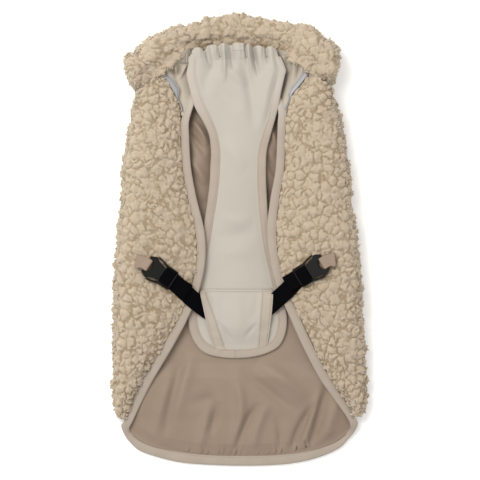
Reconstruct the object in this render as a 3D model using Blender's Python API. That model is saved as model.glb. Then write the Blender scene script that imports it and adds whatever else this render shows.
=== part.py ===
"""A dog's winter coat of curly fleece, laid flat on its back with the belly side up.

X runs across the coat, +Y runs from the hem to the neck and +Z is up. The origin lies on the
surface that the coat rests on, under the middle of its outline. Tables are in millimetres.
"""
import math

import bmesh
import bpy
import numpy as np
from mathutils import Vector
from mathutils.bvhtree import BVHTree

MM = 0.001

# Cloth and trim thicknesses, in millimetres.
FLEECE = 9.0
LINING = 1.0
SOFTSHELL = 1.8
TAPE = 5.0
PANEL_TAPE = 3.6
TRIM = 1.0
WEBBING = 1.5
GAP = 0.35
LINING_GAP = 0.6
LINING_SEAM = 0.9

# The fold at each side, and where its seam to the back runs underneath.
FOLD_RADIUS = 20.0
FOLD_SHARE = 0.45
SEAM_PAST_FOLD = 3.0
EDGE_WALL = 3.7
DOME_POWER = 2.2

# Webbing widths, and how the buckles lie on the sides.
STRAP_WIDTH = 18.6
LOOP_HALF = 6.7
TAIL_DRIFT = -0.9
BUCKLES = {
    # mouth_x, mouth_y, heading in degrees, how far from the mouth the strap's tail ends
    "left": (-102.6, -26.1, -33.2, 57.0),
    "right": (94.0, -24.0, 211.7, 50.5),
}

# How finely the cloth is divided.
RIBS = 25
SLAB_COLUMNS = 5
LINING_COLUMNS = 24
FOLD_STEPS = 8
DOME_STEPS = 5
PANEL_ROWS = 31
PANEL_COLUMNS = 15
PANEL_TAPE_STEPS = 61
CASING_STEPS = 37

# One row for each rib across the left side: where the cloth folds, its free edge, and how much
# of its width there is tape or facing.
LEFT_SIDE = (
    # fold_x, fold_y, edge_x, edge_y, tape
    (-112.8, 161.2, -88.6, 182.1, 0.0),
    (-117.2, 151.6, -77.6, 170.6, 0.0),
    (-119.4, 141.0, -51.6, 152.4, 15.4),
    (-121.0, 131.8, -54.4, 142.4, 10.4),
    (-122.2, 122.4, -55.2, 130.8, 9.4),
    (-124.9, 108.0, -55.4, 113.9, 9.0),
    (-129.8, 76.0, -53.2, 78.4, 9.4),
    (-131.2, 43.5, -46.8, 43.5, 9.8),
    (-134.0, 10.0, -38.8, 10.0, 10.0),
    (-137.0, -22.6, -37.6, -23.4, 10.0),
    (-139.6, -55.6, -44.6, -56.6, 10.0),
    (-140.0, -88.6, -57.8, -88.6, 11.0),
    (-140.3, -121.6, -75.6, -121.6, 11.6),
    (-140.3, -154.6, -95.2, -154.6, 11.6),
    (-138.8, -179.0, -108.6, -180.6, 10.4),
    (-134.2, -197.6, -118.0, -201.0, 8.6),
)

RIGHT_SIDE = (
    # fold_x, fold_y, edge_x, edge_y, tape
    (101.6, 165.4, 78.4, 183.6, 0.0),
    (104.4, 155.6, 68.0, 170.2, 0.0),
    (107.8, 146.2, 57.8, 157.8, 0.0),
    (111.6, 134.4, 42.6, 138.6, 9.2),
    (114.0, 123.4, 42.0, 127.6, 9.0),
    (116.1, 109.5, 41.4, 111.7, 9.0),
    (121.4, 76.0, 39.6, 76.4, 9.4),
    (124.2, 43.5, 33.8, 43.5, 9.8),
    (128.8, 10.0, 30.4, 9.6, 10.0),
    (133.0, -22.6, 33.6, -22.6, 10.0),
    (134.6, -55.6, 42.4, -55.6, 10.0),
    (137.0, -88.6, 56.7, -88.6, 11.0),
    (139.2, -121.6, 71.6, -121.6, 11.6),
    (140.3, -154.6, 89.3, -154.6, 11.6),
    (139.6, -177.0, 106.0, -178.4, 10.4),
    (134.6, -194.6, 119.0, -197.0, 8.0),
)

# Where the bound part of each side starts, at the top of its leg opening.
BOUND_FROM = {"left": 152.6, "right": 138.8}

# Heights of a side along the coat, for both sides.
SIDE_HEIGHTS = (
    # y, crown, edge_top, fleece
    (190.0, 44.0, 32.0, 9.0),
    (130.0, 42.0, 29.5, 9.0),
    (60.0, 41.5, 26.5, 9.0),
    (0.0, 41.0, 24.5, 9.0),
    (-66.0, 39.0, 24.0, 9.0),
    (-121.0, 34.0, 21.0, 9.0),
    (-155.0, 29.0, 18.5, 8.5),
    (-178.0, 24.0, 15.5, 7.5),
    (-192.0, 20.0, 13.4, 6.2),
    (-200.0, 17.6, 13.2, 5.2),
)

# Rows of the back above its first rib, where it runs to the neck seam under the collar.
BACK_NECK = (
    # y, left, right
    (209.6, -54.2, 39.6),
    (204.0, -62.4, 51.0),
    (196.0, -72.0, 61.6),
    (186.5, -83.2, 74.4),
)

# Rows of the back below its last rib, round the hem, with the cloth's height there.
BACK_HEM = (
    # y, left, right, height
    (-207.4, -122.2, 122.6, 5.0),
    (-216.0, -115.2, 113.4, 5.0),
    (-223.0, -104.2, 102.6, 5.0),
    (-228.8, -88.0, 87.4, 5.0),
    (-233.8, -62.6, 66.4, 5.0),
    (-237.0, -35.2, 40.4, 5.0),
)

# The hem's tape: its inner and outer edges and the height of its top. At each end it turns
# over the fold to meet the tape of that side.
HEM_TAPE = (
    # inner_x, inner_y, outer_x, outer_y, top
    (-118.6, -202.0, -127.4, -200.4, 13.2),
    (-121.8, -208.6, -130.6, -205.6, 12.0),
    (-119.6, -214.0, -127.4, -215.6, 7.6),
    (-112.6, -219.0, -121.4, -224.0, 6.0),
    (-103.8, -224.0, -110.8, -233.4, 5.6),
    (-86.6, -229.8, -90.6, -240.6, 5.4),
    (-62.8, -234.8, -66.0, -246.4, 5.2),
    (-35.2, -238.0, -37.2, -249.0, 5.2),
    (2.0, -238.8, 2.0, -250.2, 5.2),
    (40.4, -238.0, 42.0, -249.2, 5.2),
    (66.6, -234.8, 70.6, -245.4, 5.2),
    (86.6, -229.8, 94.0, -238.6, 5.4),
    (102.2, -224.0, 111.0, -230.2, 5.6),
    (111.6, -218.6, 119.2, -222.0, 6.0),
    (119.4, -212.4, 126.8, -213.0, 7.6),
    (122.6, -206.0, 130.6, -203.4, 12.0),
    (119.6, -198.2, 128.2, -196.4, 13.2),
)

# The collar's ribs: inner edge at the neck seam, outer edge, and heights.
COLLAR = (
    # inner_x, inner_y, outer_x, outer_y, inner_top, crown
    (-112.6, 163.0, -116.8, 164.0, 20.0, 26.0),
    (-109.0, 165.6, -124.6, 172.0, 32.0, 44.0),
    (-104.0, 170.0, -128.6, 184.0, 33.0, 47.0),
    (-97.6, 175.4, -128.8, 198.0, 33.0, 48.0),
    (-89.4, 182.8, -121.6, 207.6, 33.0, 48.0),
    (-80.4, 190.6, -110.6, 215.4, 32.0, 46.0),
    (-69.0, 200.2, -93.6, 224.4, 28.0, 41.0),
    (-55.4, 211.0, -71.6, 233.6, 20.0, 33.0),
    (-39.0, 212.4, -44.0, 241.6, 13.0, 24.4),
    (-22.0, 212.8, -22.0, 247.0, 11.5, 22.2),
    (0.0, 213.0, 0.0, 250.2, 11.5, 21.8),
    (20.0, 212.8, 22.0, 246.6, 11.5, 22.2),
    (36.0, 212.0, 46.0, 240.6, 13.0, 24.4),
    (48.0, 207.6, 72.0, 235.0, 19.0, 32.0),
    (58.6, 199.8, 92.4, 226.0, 27.0, 40.0),
    (69.0, 192.0, 107.0, 214.6, 32.0, 46.0),
    (79.0, 184.6, 111.4, 200.0, 33.0, 48.0),
    (88.0, 177.8, 111.4, 186.0, 33.0, 47.0),
    (95.6, 172.0, 108.2, 175.4, 32.0, 43.0),
    (101.4, 167.4, 104.8, 169.0, 20.0, 26.0),
)

# The belly panel inside its tape, with the height of its middle and of its edges.
PANEL = (
    # y, left, right, edge_height, middle_height
    (201.0, -53.6, 43.6, 31.0, 31.4),
    (193.0, -53.6, 48.0, 30.6, 31.2),
    (187.0, -50.6, 46.8, 30.4, 31.2),
    (179.0, -50.0, 44.4, 30.2, 31.4),
    (163.0, -44.8, 38.0, 29.2, 31.0),
    (148.0, -37.0, 34.0, 28.0, 30.0),
    (134.0, -30.6, 30.0, 26.4, 28.6),
    (117.0, -23.8, 24.4, 25.0, 27.2),
    (98.0, -20.6, 19.4, 23.6, 26.0),
    (81.0, -20.8, 18.2, 22.4, 24.8),
    (62.0, -22.0, 18.2, 21.0, 23.4),
    (40.0, -24.8, 19.4, 19.4, 22.0),
    (18.0, -28.4, 21.6, 17.6, 20.6),
    (-2.0, -31.4, 24.0, 16.0, 19.6),
    (-22.0, -35.2, 28.0, 15.4, 19.2),
    (-44.0, -39.6, 33.2, 15.2, 19.2),
    (-66.0, -43.6, 38.0, 15.0, 19.0),
    (-86.0, -45.8, 41.2, 14.6, 18.2),
    (-100.0, -43.4, 40.0, 14.2, 17.0),
    (-110.0, -37.8, 35.0, 13.8, 15.6),
    (-115.6, -29.6, 25.8, 13.6, 14.4),
    (-118.6, -18.4, 12.8, 13.4, 13.8),
)

# The panel's tape, from its left end at the neck, round the belly end, to its right end.
PANEL_TAPE_ROUTE = (
    # inner_x, inner_y, outer_x, outer_y
    (-51.2, 187.0, -56.4, 187.6),
    (-50.6, 180.0, -57.6, 179.6),
    (-45.4, 163.0, -53.6, 161.0),
    (-37.6, 148.0, -48.6, 144.4),
    (-31.2, 134.0, -40.4, 130.0),
    (-24.4, 117.0, -33.6, 115.0),
    (-21.2, 98.0, -31.4, 97.6),
    (-21.4, 81.0, -32.0, 81.0),
    (-22.6, 62.0, -33.0, 61.4),
    (-25.4, 40.0, -35.8, 39.0),
    (-29.0, 18.0, -39.2, 17.0),
    (-32.0, -2.0, -42.2, -3.0),
    (-35.8, -22.0, -46.0, -23.0),
    (-40.2, -44.0, -50.4, -45.0),
    (-44.2, -66.0, -54.6, -66.6),
    (-46.6, -86.0, -56.8, -86.4),
    (-44.0, -100.8, -54.0, -103.6),
    (-38.2, -111.0, -46.8, -117.6),
    (-29.8, -116.8, -36.4, -126.0),
    (-18.4, -119.8, -21.6, -129.8),
    (-4.0, -120.4, -4.6, -131.0),
    (12.8, -119.8, 15.0, -129.4),
    (26.0, -116.8, 30.4, -125.2),
    (35.4, -111.0, 43.4, -117.6),
    (40.6, -100.8, 50.6, -103.6),
    (42.0, -86.0, 52.4, -86.4),
    (38.8, -66.0, 49.0, -66.6),
    (34.0, -44.0, 44.2, -45.0),
    (28.8, -22.0, 39.0, -23.0),
    (24.8, -2.0, 35.0, -3.0),
    (22.4, 18.0, 32.4, 17.0),
    (20.2, 40.0, 30.6, 39.6),
    (19.0, 62.0, 29.4, 62.0),
    (19.0, 81.0, 29.2, 81.0),
    (20.2, 98.0, 30.2, 98.4),
    (25.2, 117.0, 35.4, 118.6),
    (30.8, 134.0, 40.0, 135.0),
    (34.8, 148.0, 43.2, 148.6),
    (38.8, 163.0, 45.4, 163.6),
    (45.0, 179.0, 49.6, 180.0),
    (47.4, 187.0, 51.4, 187.4),
)

# Gathers of the panel at the neck: where they start, where they are full and how deep they are.
GATHER_FROM = 150.0
GATHER_TO = 205.0
GATHER_DEPTH = 1.2

# The casing at the neck: its ends, its lower edge, how far up it reaches between its swells, its
# height, and half its thickness. A swell raises it and makes it thicker.
CASING_LEFT = -52.4
CASING_RIGHT = 42.0
CASING_LOW = 201.7
CASING_REACH = 207.5
CASING_LEVEL = 30.4
CASING_RISE = 1.6
CASING_HALF = 1.3
CASING_FULL = 1.2
CASING_ROUND = 1.6
CASING_SEAM = 3.0
SWELL_SHARE = 0.62
SWELL_POWER = 0.7

# The lapped end of the casing's elastic.
LAP_LEFT = -7.6
LAP_RIGHT = 4.8
LAP_LOW = 204.6
LAP_TOP = 215.4

# Each swell of the casing: its middle, how far up it reaches and how wide it is.
CASING_SWELLS = (
    # x, top_y, width
    (-45.0, 210.6, 11.0),
    (-31.0, 214.0, 14.0),
    (-17.6, 215.0, 8.0),
    (-6.0, 213.6, 12.0),
    (9.0, 213.6, 9.0),
    (20.6, 212.2, 12.0),
    (34.6, 211.4, 14.0),
)

# Where each facing starts, under the collar, and how it is sewn in: its gaps to the fleece and to
# the panel, how far it lies under a side's edge, its height at the panel, and its gathers.
FACING_TOP = {"left": 203.0, "right": 200.0}
FACING_ROWS = 13
FACING_COLUMNS = 9
FACING_TO_FLEECE = 0.9
FACING_TO_PANEL = 1.2
FACING_UNDER = 1.4
FACING_AT_PANEL = 30.2
PLEATS_FROM = 165.0
PLEATS_TO = 200.0
PLEAT_DEPTH = 0.8
PLEAT_COUNT = 5

# The reflective trim on each facing.
REFLECTIVE_TOP = 183.0
REFLECTIVE_INSET = 0.4
REFLECTIVE_WIDTH = 4.2

# The tunnel that the strap runs through: its rows from the top fold to the lower seam.
TUNNEL = (
    # y, left, right
    (-52.0, -42.0, 36.4),
    (-58.0, -41.6, 36.4),
    (-72.0, -38.8, 35.4),
    (-86.0, -36.6, 34.4),
    (-97.0, -34.6, 33.4),
    (-106.0, -32.4, 32.0),
    (-113.4, -30.6, 27.6),
)

# The strap's route, from the left adjuster through the tunnel to the right adjuster.
STRAP_ROUTE = (
    # x, y
    (-79.6, -41.2),
    (-72.5, -45.9),
    (-61.0, -56.6),
    (-48.0, -68.7),
    (-33.0, -79.6),
    (-16.0, -85.6),
    (0.0, -86.6),
    (15.0, -83.8),
    (29.0, -76.6),
    (43.3, -64.0),
    (55.0, -52.9),
    (63.4, -43.0),
    (70.6, -38.45),
)

# How the webbing and the tunnel bed down: the width round each point that has to clear what is
# under it, and how often a short dip is levelled out.
STRAP_CELLS = 45
STRAP_COLUMNS = 5
STRAP_REACH = 3.0
STRAP_PASSES = 4
TAIL_CELLS = 7
TAIL_REACH = 2.5
TAIL_PASSES = 2
TAIL_FROM = 34.9
TUNNEL_CELLS = 13
TUNNEL_COLUMNS = 15
TUNNEL_REACH = 3.6

# The strap's stretch that lies raised between the adjuster's cheeks, along the buckle.
ADJUSTER_FROM = 20.0
ADJUSTER_TO = 38.0
ADJUSTER_LIFT = 0.4

# Heights of the buckle's halves above the cloth, and their cross bars for the webbing.
SOCKET_LOW = 0.0
SOCKET_TOP = 6.4
PLUG_LOW = 0.3
PLUG_TOP = 6.2
DRAFT = 0.97
DRAFT_EDGE = 0.6
SEAT_FROM = -8.0
SEAT_TO = 36.0
SEAT_HALF = 11.0
BARS = {
    # near, far, low, high, half_width
    "socket": (0.7, 2.8, 2.2, 4.2, 8.4),
    "plug": (31.6, 33.6, 4.4, 5.9, 10.6),
}

# The loop leans off the buckle's line where it is sewn down.
LEAN_FROM = 2.0
LEAN = 0.35

# Outline of one half of each buckle piece, along the buckle from its mouth and across it.
SOCKET_HALF = (
    # along, across
    (6.0, 7.6),
    (0.3, 7.6),
    (0.0, 8.8),
    (1.2, 9.8),
    (4.5, 10.2),
    (9.0, 9.6),
    (21.4, 6.8),
)

PLUG_HALF = (
    # along, across
    (26.4, 10.1),
    (36.0, 10.1),
    (36.0, 11.2),
    (30.0, 11.5),
    (22.4, 11.4),
    (15.0, 13.4),
    (9.0, 14.4),
    (8.2, 13.8),
    (8.8, 12.7),
    (15.0, 11.6),
    (20.8, 9.4),
    (21.8, 8.2),
    (21.8, 6.8),
)

# The loop's webbing seen from its side, folded round the socket's bar: outer and inner face.
LOOP_FOLD = (
    # along, up, inner_along, inner_up
    (-11.0, 0.8, -6.0, 2.0),
    (-4.0, 0.6, -3.5, 2.0),
    (2.2, 0.4, 2.0, 1.75),
    (4.6, 1.6, 3.3, 2.2),
    (4.6, 4.8, 3.3, 4.2),
    (2.2, 6.0, 2.0, 4.65),
    (-4.0, 4.4, -3.5, 3.0),
    (-11.0, 3.4, -6.0, 2.6),
)


def srgb(code):
    """Linear colour of a six-digit sRGB hex code."""
    parts = [int(code[i:i + 2], 16) / 255.0 for i in (0, 2, 4)]
    return [p / 12.92 if p <= 0.04045 else ((p + 0.055) / 1.055) ** 2.4 for p in parts] + [1.0]


def material(name, code, roughness):
    finish = bpy.data.materials.new(name)
    finish.use_nodes = True
    shader = finish.node_tree.nodes["Principled BSDF"]
    shader.inputs["Base Color"].default_value = srgb(code)
    shader.inputs["Roughness"].default_value = roughness
    shader.inputs["Metallic"].default_value = 0.0
    return finish


def add_solid(name, mesh_data, finish, smooth_angle=50.0):
    """Make a named object from a bmesh in millimetres, with its faces turned outwards."""
    bmesh.ops.recalc_face_normals(mesh_data, faces=mesh_data.faces)
    if mesh_data.calc_volume(signed=True) < 0.0:
        bmesh.ops.reverse_faces(mesh_data, faces=mesh_data.faces)
    bmesh.ops.scale(mesh_data, vec=(MM, MM, MM), verts=mesh_data.verts)
    mesh = bpy.data.meshes.new(name)
    mesh_data.to_mesh(mesh)
    mesh_data.free()
    mesh.shade_smooth()
    mesh.set_sharp_from_angle(angle=math.radians(smooth_angle))
    mesh.materials.append(finish)
    solid = bpy.data.objects.new(name, mesh)
    bpy.context.scene.collection.objects.link(solid)
    return solid


def loft(name, rings, finish, closed=False):
    """Skin a list of rings of equal length. Open ends are closed by strips between mated points."""
    mesh_data = bmesh.new()
    rows = [[mesh_data.verts.new(tuple(point)) for point in ring] for ring in rings]
    count = len(rows[0])
    pairs = list(zip(rows, rows[1:]))
    if closed:
        pairs.append((rows[-1], rows[0]))
    for this_row, next_row in pairs:
        for i in range(count):
            j = (i + 1) % count
            mesh_data.faces.new((this_row[i], this_row[j], next_row[j], next_row[i]))
    if not closed:
        for row in (rows[0], rows[-1]):
            for i in range(count // 2 - 1):
                mesh_data.faces.new((row[i], row[i + 1], row[count - 2 - i], row[count - 1 - i]))
    return add_solid(name, mesh_data, finish)


def spread(rows, count):
    """Read `count` evenly spaced rows from a smooth curve through a table's rows."""
    rows = np.array(rows, float)
    last = len(rows) - 1
    steps = np.linspace(0.0, last, count)
    start = np.clip(steps.astype(int), 0, last - 1)
    t = (steps - start)[:, None]
    before, here = rows[np.maximum(start - 1, 0)], rows[start]
    ahead, after = rows[start + 1], rows[np.minimum(start + 2, last)]
    return 0.5 * (2 * here + (ahead - before) * t + (2 * before - 5 * here + 4 * ahead - after) * t ** 2
                  + (3 * here - before - 3 * ahead + after) * t ** 3)


def read_heights(y):
    """Crown, edge top and fleece thickness of a side, at a distance along the coat."""
    table = np.array(SIDE_HEIGHTS)[::-1]
    return [float(np.interp(y, table[:, 0], table[:, column])) for column in (1, 2, 3)]


class Rib:
    """One section across a side: it folds up at `fold` and ends at the free edge."""

    def __init__(self, fold_x, fold_y, edge_x, edge_y, tape_width):
        self.fold = np.array((fold_x, fold_y))
        self.edge = np.array((edge_x, edge_y))
        self.span = float(np.linalg.norm(self.edge - self.fold))
        self.along = (self.edge - self.fold) / self.span
        self.crown, self.edge_top, self.fleece = read_heights(edge_y)
        self.cloth = self.span - tape_width
        self.radius = min(FOLD_RADIUS, FOLD_SHARE * self.cloth)
        self.seam = self.radius + SEAM_PAST_FOLD
        self.squeeze = min(1.0, (self.radius - GAP) / (self.fleece + LINING_GAP + LINING))

    def place(self, distance, height):
        spot = self.fold + self.along * distance
        return (spot[0], spot[1], height)

    def curve(self, depth):
        """Points `depth` under the outer face, from the seam underneath, round, to the free edge."""
        beyond = max(depth - self.fleece, 0.0)
        edge_depth = min(depth / self.fleece, 1.0) * EDGE_WALL + beyond
        points = [self.place(self.seam, depth)]
        half = self.crown / 2.0
        for step in range(FOLD_STEPS + 1):
            turn = math.pi * (step / FOLD_STEPS - 0.5)
            reach = self.radius - (self.radius - depth * self.squeeze) * math.cos(turn)
            points.append(self.place(reach, half + (half - depth) * math.sin(turn)))
        for step in range(1, DOME_STEPS + 1):
            share = step / DOME_STEPS
            fall = share ** DOME_POWER
            lift = self.crown + (self.edge_top - self.crown) * fall
            under = depth + (edge_depth - depth) * fall
            points.append(self.place(self.radius + (self.cloth - self.radius) * share, lift - under))
        return points

    def wall(self):
        return self.curve(0.0) + self.curve(self.fleece)[::-1]

    def lining(self):
        """The lining against the wall's inner face, with every second of its points."""
        face = self.fleece + LINING_GAP
        return self.curve(face)[::2] + self.curve(face + LINING)[::-2]


def flat_bar(inner, outer, top, thick):
    """Section of a folded tape: a flat bar with rounded edges from `inner` to `outer`."""
    inner, outer = np.array(inner, float), np.array(outer, float)
    ring = []
    for share, height in ((0.0, 0.25), (0.12, 0.0), (0.88, 0.0), (1.0, 0.3),
                          (1.0, 0.7), (0.88, 1.0), (0.12, 1.0), (0.0, 0.75)):
        spot = inner + (outer - inner) * share
        ring.append((spot[0], spot[1], top - thick * (1.0 - height)))
    return ring


def sheet_rings(rows, thick):
    """Closed rings of a level sheet. Each row is a list of points on its upper face."""
    return [list(row) + [(x, y, z - thick) for x, y, z in reversed(row)] for row in rows]


def height_over(solids, spots):
    """Height in millimetres of the highest of `solids` at each plan position."""
    trees = []
    for solid in solids:
        mesh_data = bmesh.new()
        mesh_data.from_mesh(solid.data)
        trees.append(BVHTree.FromBMesh(mesh_data))
        mesh_data.free()
    heights = []
    for x, y in spots:
        hits = [tree.ray_cast(Vector((x * MM, y * MM, 1.0)), Vector((0, 0, -1)))[0] for tree in trees]
        heights.append(max([hit.z / MM for hit in hits if hit is not None], default=0.0))
    return np.array(heights)


def lay_over(solids, grid, clearance, reach, passes):
    """Heights of a limp strip laid over `solids`: clear of them, and level across short dips.

    `grid` holds plan positions as rows along the strip. `reach` is how far round each of its
    points the strip has to clear.
    """
    grid = np.array(grid, float)
    around = [(0.0, 0.0)] + [(reach * math.cos(a), reach * math.sin(a))
                             for a in np.linspace(0.0, 2 * math.pi, 9)[:-1]]
    heights = np.max([height_over(solids, (grid + step).reshape(-1, 2)) for step in around], axis=0)
    heights = heights.reshape(grid.shape[:2]) + clearance
    for _ in range(passes):
        heights[1:-1] = np.maximum(heights[1:-1], (heights[:-2] + heights[2:]) / 2.0)
    return heights


def ribbon_plan(route, width, columns, cells):
    """Plan positions across a strip that follows a smooth route."""
    middle = spread(route, cells)
    ahead = np.gradient(middle, axis=0)
    ahead /= np.linalg.norm(ahead, axis=1)[:, None]
    across = np.stack((-ahead[:, 1], ahead[:, 0]), axis=1)
    return [[spot + side * width * share for share in np.linspace(-0.5, 0.5, columns)]
            for spot, side in zip(middle, across)]


def ribbon_rings(plan, heights, thick):
    """Rings of a strip whose underside is at the given heights."""
    return sheet_rings([[(p[0], p[1], h + thick) for p, h in zip(row, lifts)]
                        for row, lifts in zip(plan, heights)], thick)


def make_sides(fleece, nylon, tape):
    """Fold each side of the shell over the belly, and line and bind it."""
    sides = {}
    for side, table in (("left", LEFT_SIDE), ("right", RIGHT_SIDE)):
        ribs = [Rib(*row) for row in spread(table, RIBS)]
        loft("shell_" + side, [rib.wall() for rib in ribs], fleece)
        loft("lining_" + side, [rib.lining() for rib in ribs], nylon)
        bound = [rib for rib in ribs if rib.edge[1] <= BOUND_FROM[side]]
        rings = [flat_bar(rib.place(rib.cloth + GAP, 0)[:2], rib.edge, rib.edge_top, TAPE)
                 for rib in bound]
        loft("binding_" + side, rings, tape)
        sides[side] = ribs
    return sides


def back_rows(sides):
    """Ends and height of each row of the back, from the neck seam to the hem."""
    rows = [((left, y), (right, y), FLEECE) for y, left, right in BACK_NECK]
    for left, right in zip(sides["left"], sides["right"]):
        rows.append((left.place(left.seam + GAP, 0)[:2], right.place(right.seam + GAP, 0)[:2],
                     min(left.fleece, right.fleece)))
    rows += [((left, y), (right, y), height) for y, left, right, height in BACK_HEM]
    return rows


def make_back(sides, fleece, nylon):
    """The back lies pile down on the surface, with the lining on it gathered at the hem."""
    rows = back_rows(sides)
    slab, lining = [], []
    for left, right, height in rows:
        upper = [(*spot, height) for spot in np.linspace(left, right, SLAB_COLUMNS)]
        slab.append(upper + [(x, y, 0.0) for x, y, _ in reversed(upper)])
    for left, right, height in rows[:-len(BACK_HEM)][::2] + rows[-len(BACK_HEM):]:
        level = height + LINING_GAP + LINING
        inset = LINING_SEAM * (np.array(right) - left) / np.linalg.norm(np.array(right) - left)
        lining.append([(x, y, level + pucker(x, y))
                       for x, y in np.linspace(left + inset, right - inset, LINING_COLUMNS)])
    loft("shell_back", slab, fleece)
    loft("lining_back", sheet_rings(lining, LINING), nylon)


def pucker(x, y):
    """Lift of the lining's soft folds, which run up from the hem's elastic."""
    fade = max(0.0, min(1.0, (-150.0 - y) / 80.0)) * max(0.0, min(1.0, (108.0 - abs(x)) / 20.0))
    return fade * (0.6 + 0.6 * math.sin(x / 4.1 + 0.6 * math.sin(x / 19.0)))


def make_hem_tape(tape):
    rings = [flat_bar((ix, iy), (ox, oy), top, min(TAPE, top))
             for ix, iy, ox, oy, top in spread(HEM_TAPE, 2 * len(HEM_TAPE) - 1)]
    return loft("binding_hem", rings, tape)


def make_collar(fleece):
    """A plush roll round the neck: low behind it, and high where it folds at the shoulders."""
    rings = []
    for ix, iy, ox, oy, inner_top, crown in spread(COLLAR, 2 * len(COLLAR) - 1):
        inner, outer = np.array((ix, iy)), np.array((ox, oy))
        ring = []
        for share, height in ((0.0, 0.0), (0.35, 0.0), (0.75, 0.0), (0.93, 0.1 * crown),
                              (1.0, 0.28 * crown), (0.975, 0.5 * crown), (1.0, 0.7 * crown),
                              (0.92, 0.9 * crown), (0.72, crown), (0.45, 0.985 * crown),
                              (0.2, 0.55 * inner_top + 0.42 * crown), (0.0, inner_top),
                              (0.0, 0.66 * inner_top), (0.0, 0.33 * inner_top)):
            spot = inner + (outer - inner) * share
            ring.append((spot[0], spot[1], height))
        rings.append(ring)
    return loft("collar", rings, fleece)


def casing_top(x):
    """How far up the gathered casing reaches at x, and how full it is there."""
    reach, full = CASING_REACH, 0.0
    for middle, top_y, width in CASING_SWELLS:
        off = abs(x - middle) / (SWELL_SHARE * width)
        if off < 1.0:
            swell = math.cos(off * math.pi / 2.0) ** SWELL_POWER
            reach = max(reach, CASING_REACH + (top_y - CASING_REACH) * swell)
            full = max(full, swell)
    return reach, full


def panel_height(x, row):
    """Height of the belly panel's upper face: bowed up in its middle, and gathered at the neck."""
    y, left, right, edge_height, middle_height = row
    middle, half = (left + right) / 2.0, (right - left) / 2.0
    bow = max(0.0, 1.0 - ((x - middle) / half) ** 2)
    gather = max(0.0, min(1.0, (y - GATHER_FROM) / (GATHER_TO - GATHER_FROM))) ** 1.5
    wave = GATHER_DEPTH * gather * (casing_top(x)[1] - 0.5) * min(1.0, 3 * bow)
    return edge_height + (middle_height - edge_height) * bow + wave


def make_panel(softshell, tape):
    rows = []
    for row in spread(PANEL, PANEL_ROWS):
        y, left, right = row[:3]
        rows.append([(x, y, panel_height(x, row)) for x in np.linspace(left, right, PANEL_COLUMNS)])
    panel = loft("belly_panel", sheet_rings(rows, SOFTSHELL), softshell)
    table = np.array(PANEL)[::-1]
    rings = []
    for ix, iy, ox, oy in spread(PANEL_TAPE_ROUTE, PANEL_TAPE_STEPS):
        edge = float(np.interp(iy, table[:, 0], table[:, 3]))
        rings.append(flat_bar((ix, iy), (ox, oy), edge + (PANEL_TAPE - SOFTSHELL) / 2, PANEL_TAPE))
    binding = loft("belly_binding", rings, tape)
    return panel, binding


def make_casing(softshell):
    """The elastic casing stands up in swells across the neck end of the belly panel."""
    rings = []
    for x in np.linspace(CASING_LEFT, CASING_RIGHT, CASING_STEPS):
        reach, full = casing_top(x)
        lift = CASING_LEVEL + CASING_RISE * full
        half = CASING_HALF + CASING_FULL * full
        seam, shoulder = CASING_LOW + CASING_SEAM, reach - CASING_ROUND
        rings.append([(x, CASING_LOW, lift - 1.0), (x, seam, lift - 1.0 - half),
                      (x, shoulder, lift - 0.8 - half), (x, reach, lift - 0.8),
                      (x, reach, lift + 0.2), (x, shoulder, lift + half),
                      (x, seam, lift + half), (x, CASING_LOW, lift + 0.6)])
    casing = loft("neck_casing", rings, softshell)
    plan = [[(x, y) for x in np.linspace(LAP_LEFT, LAP_RIGHT, 4)] for y in np.linspace(LAP_LOW, LAP_TOP, 4)]
    level = float(lay_over([casing], plan, GAP, CASING_ROUND, 0).max())
    loft("neck_lap", ribbon_rings(plan, np.full((4, 4), level), TRIM), softshell)


def read_line(points, y):
    """Position in x, at y, of a line through plan points."""
    line = np.array(sorted((p[1], p[0]) for p in points))
    return float(np.interp(y, line[:, 0], line[:, 1]))


def facing_lines(side, ribs):
    """The two edges that a facing is sewn between: the fleece with the collar, and the panel."""
    sign = -1.0 if side == "left" else 1.0
    fleece_edge = [rib.place(rib.cloth, 0)[:2] for rib in ribs]
    neck_seam = [row[:2] for row in spread(COLLAR, 2 * len(COLLAR) - 1) if row[0] * sign > 0]
    outer = fleece_edge + [point for point in neck_seam if point[1] > fleece_edge[0][1]]
    column = 1 if side == "left" else 2
    panel_edge = [(row[column], row[0]) for row in PANEL if row[0] > 190.0]
    taped = [row[2:] for row in spread(PANEL_TAPE_ROUTE, PANEL_TAPE_STEPS)
             if row[2] * sign > 0 and row[3] > 100.0]
    return sign, outer, panel_edge + taped


def make_facings(sides, softshell, silver):
    """Gathered facings fill each side of the neck, with a reflective trim at the fleece."""
    for side, ribs in sides.items():
        sign, outer_line, inner_line = facing_lines(side, ribs)
        rows, trims = [], []
        for y in np.linspace(FACING_TOP[side], BOUND_FROM[side] + FACING_UNDER, FACING_ROWS):
            outer = read_line(outer_line, y) - sign * FACING_TO_FLEECE
            inner = read_line(inner_line, y) + sign * FACING_TO_PANEL
            edge_top = read_heights(y)[1]
            depth = PLEAT_DEPTH * max(0.0, (y - PLEATS_FROM) / (PLEATS_TO - PLEATS_FROM))
            row = []
            for share in np.linspace(0.0, 1.0, FACING_COLUMNS):
                level = edge_top - FACING_UNDER + share * (FACING_AT_PANEL - edge_top)
                pleat = depth * math.sin(share * PLEAT_COUNT * math.pi)
                row.append((outer + (inner - outer) * share, y, level + pleat))
            rows.append(row)
            if y < REFLECTIVE_TOP:
                trims.append([(outer - sign * (REFLECTIVE_INSET + REFLECTIVE_WIDTH * share), y)
                              for share in (0.0, 0.5, 1.0)])
        facing = loft("facing_" + side, sheet_rings(rows, SOFTSHELL), softshell)
        lifts = lay_over([facing], trims, GAP, TRIM, 0)
        loft("reflective_" + side, ribbon_rings(trims, lifts, TRIM), silver)


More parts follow.
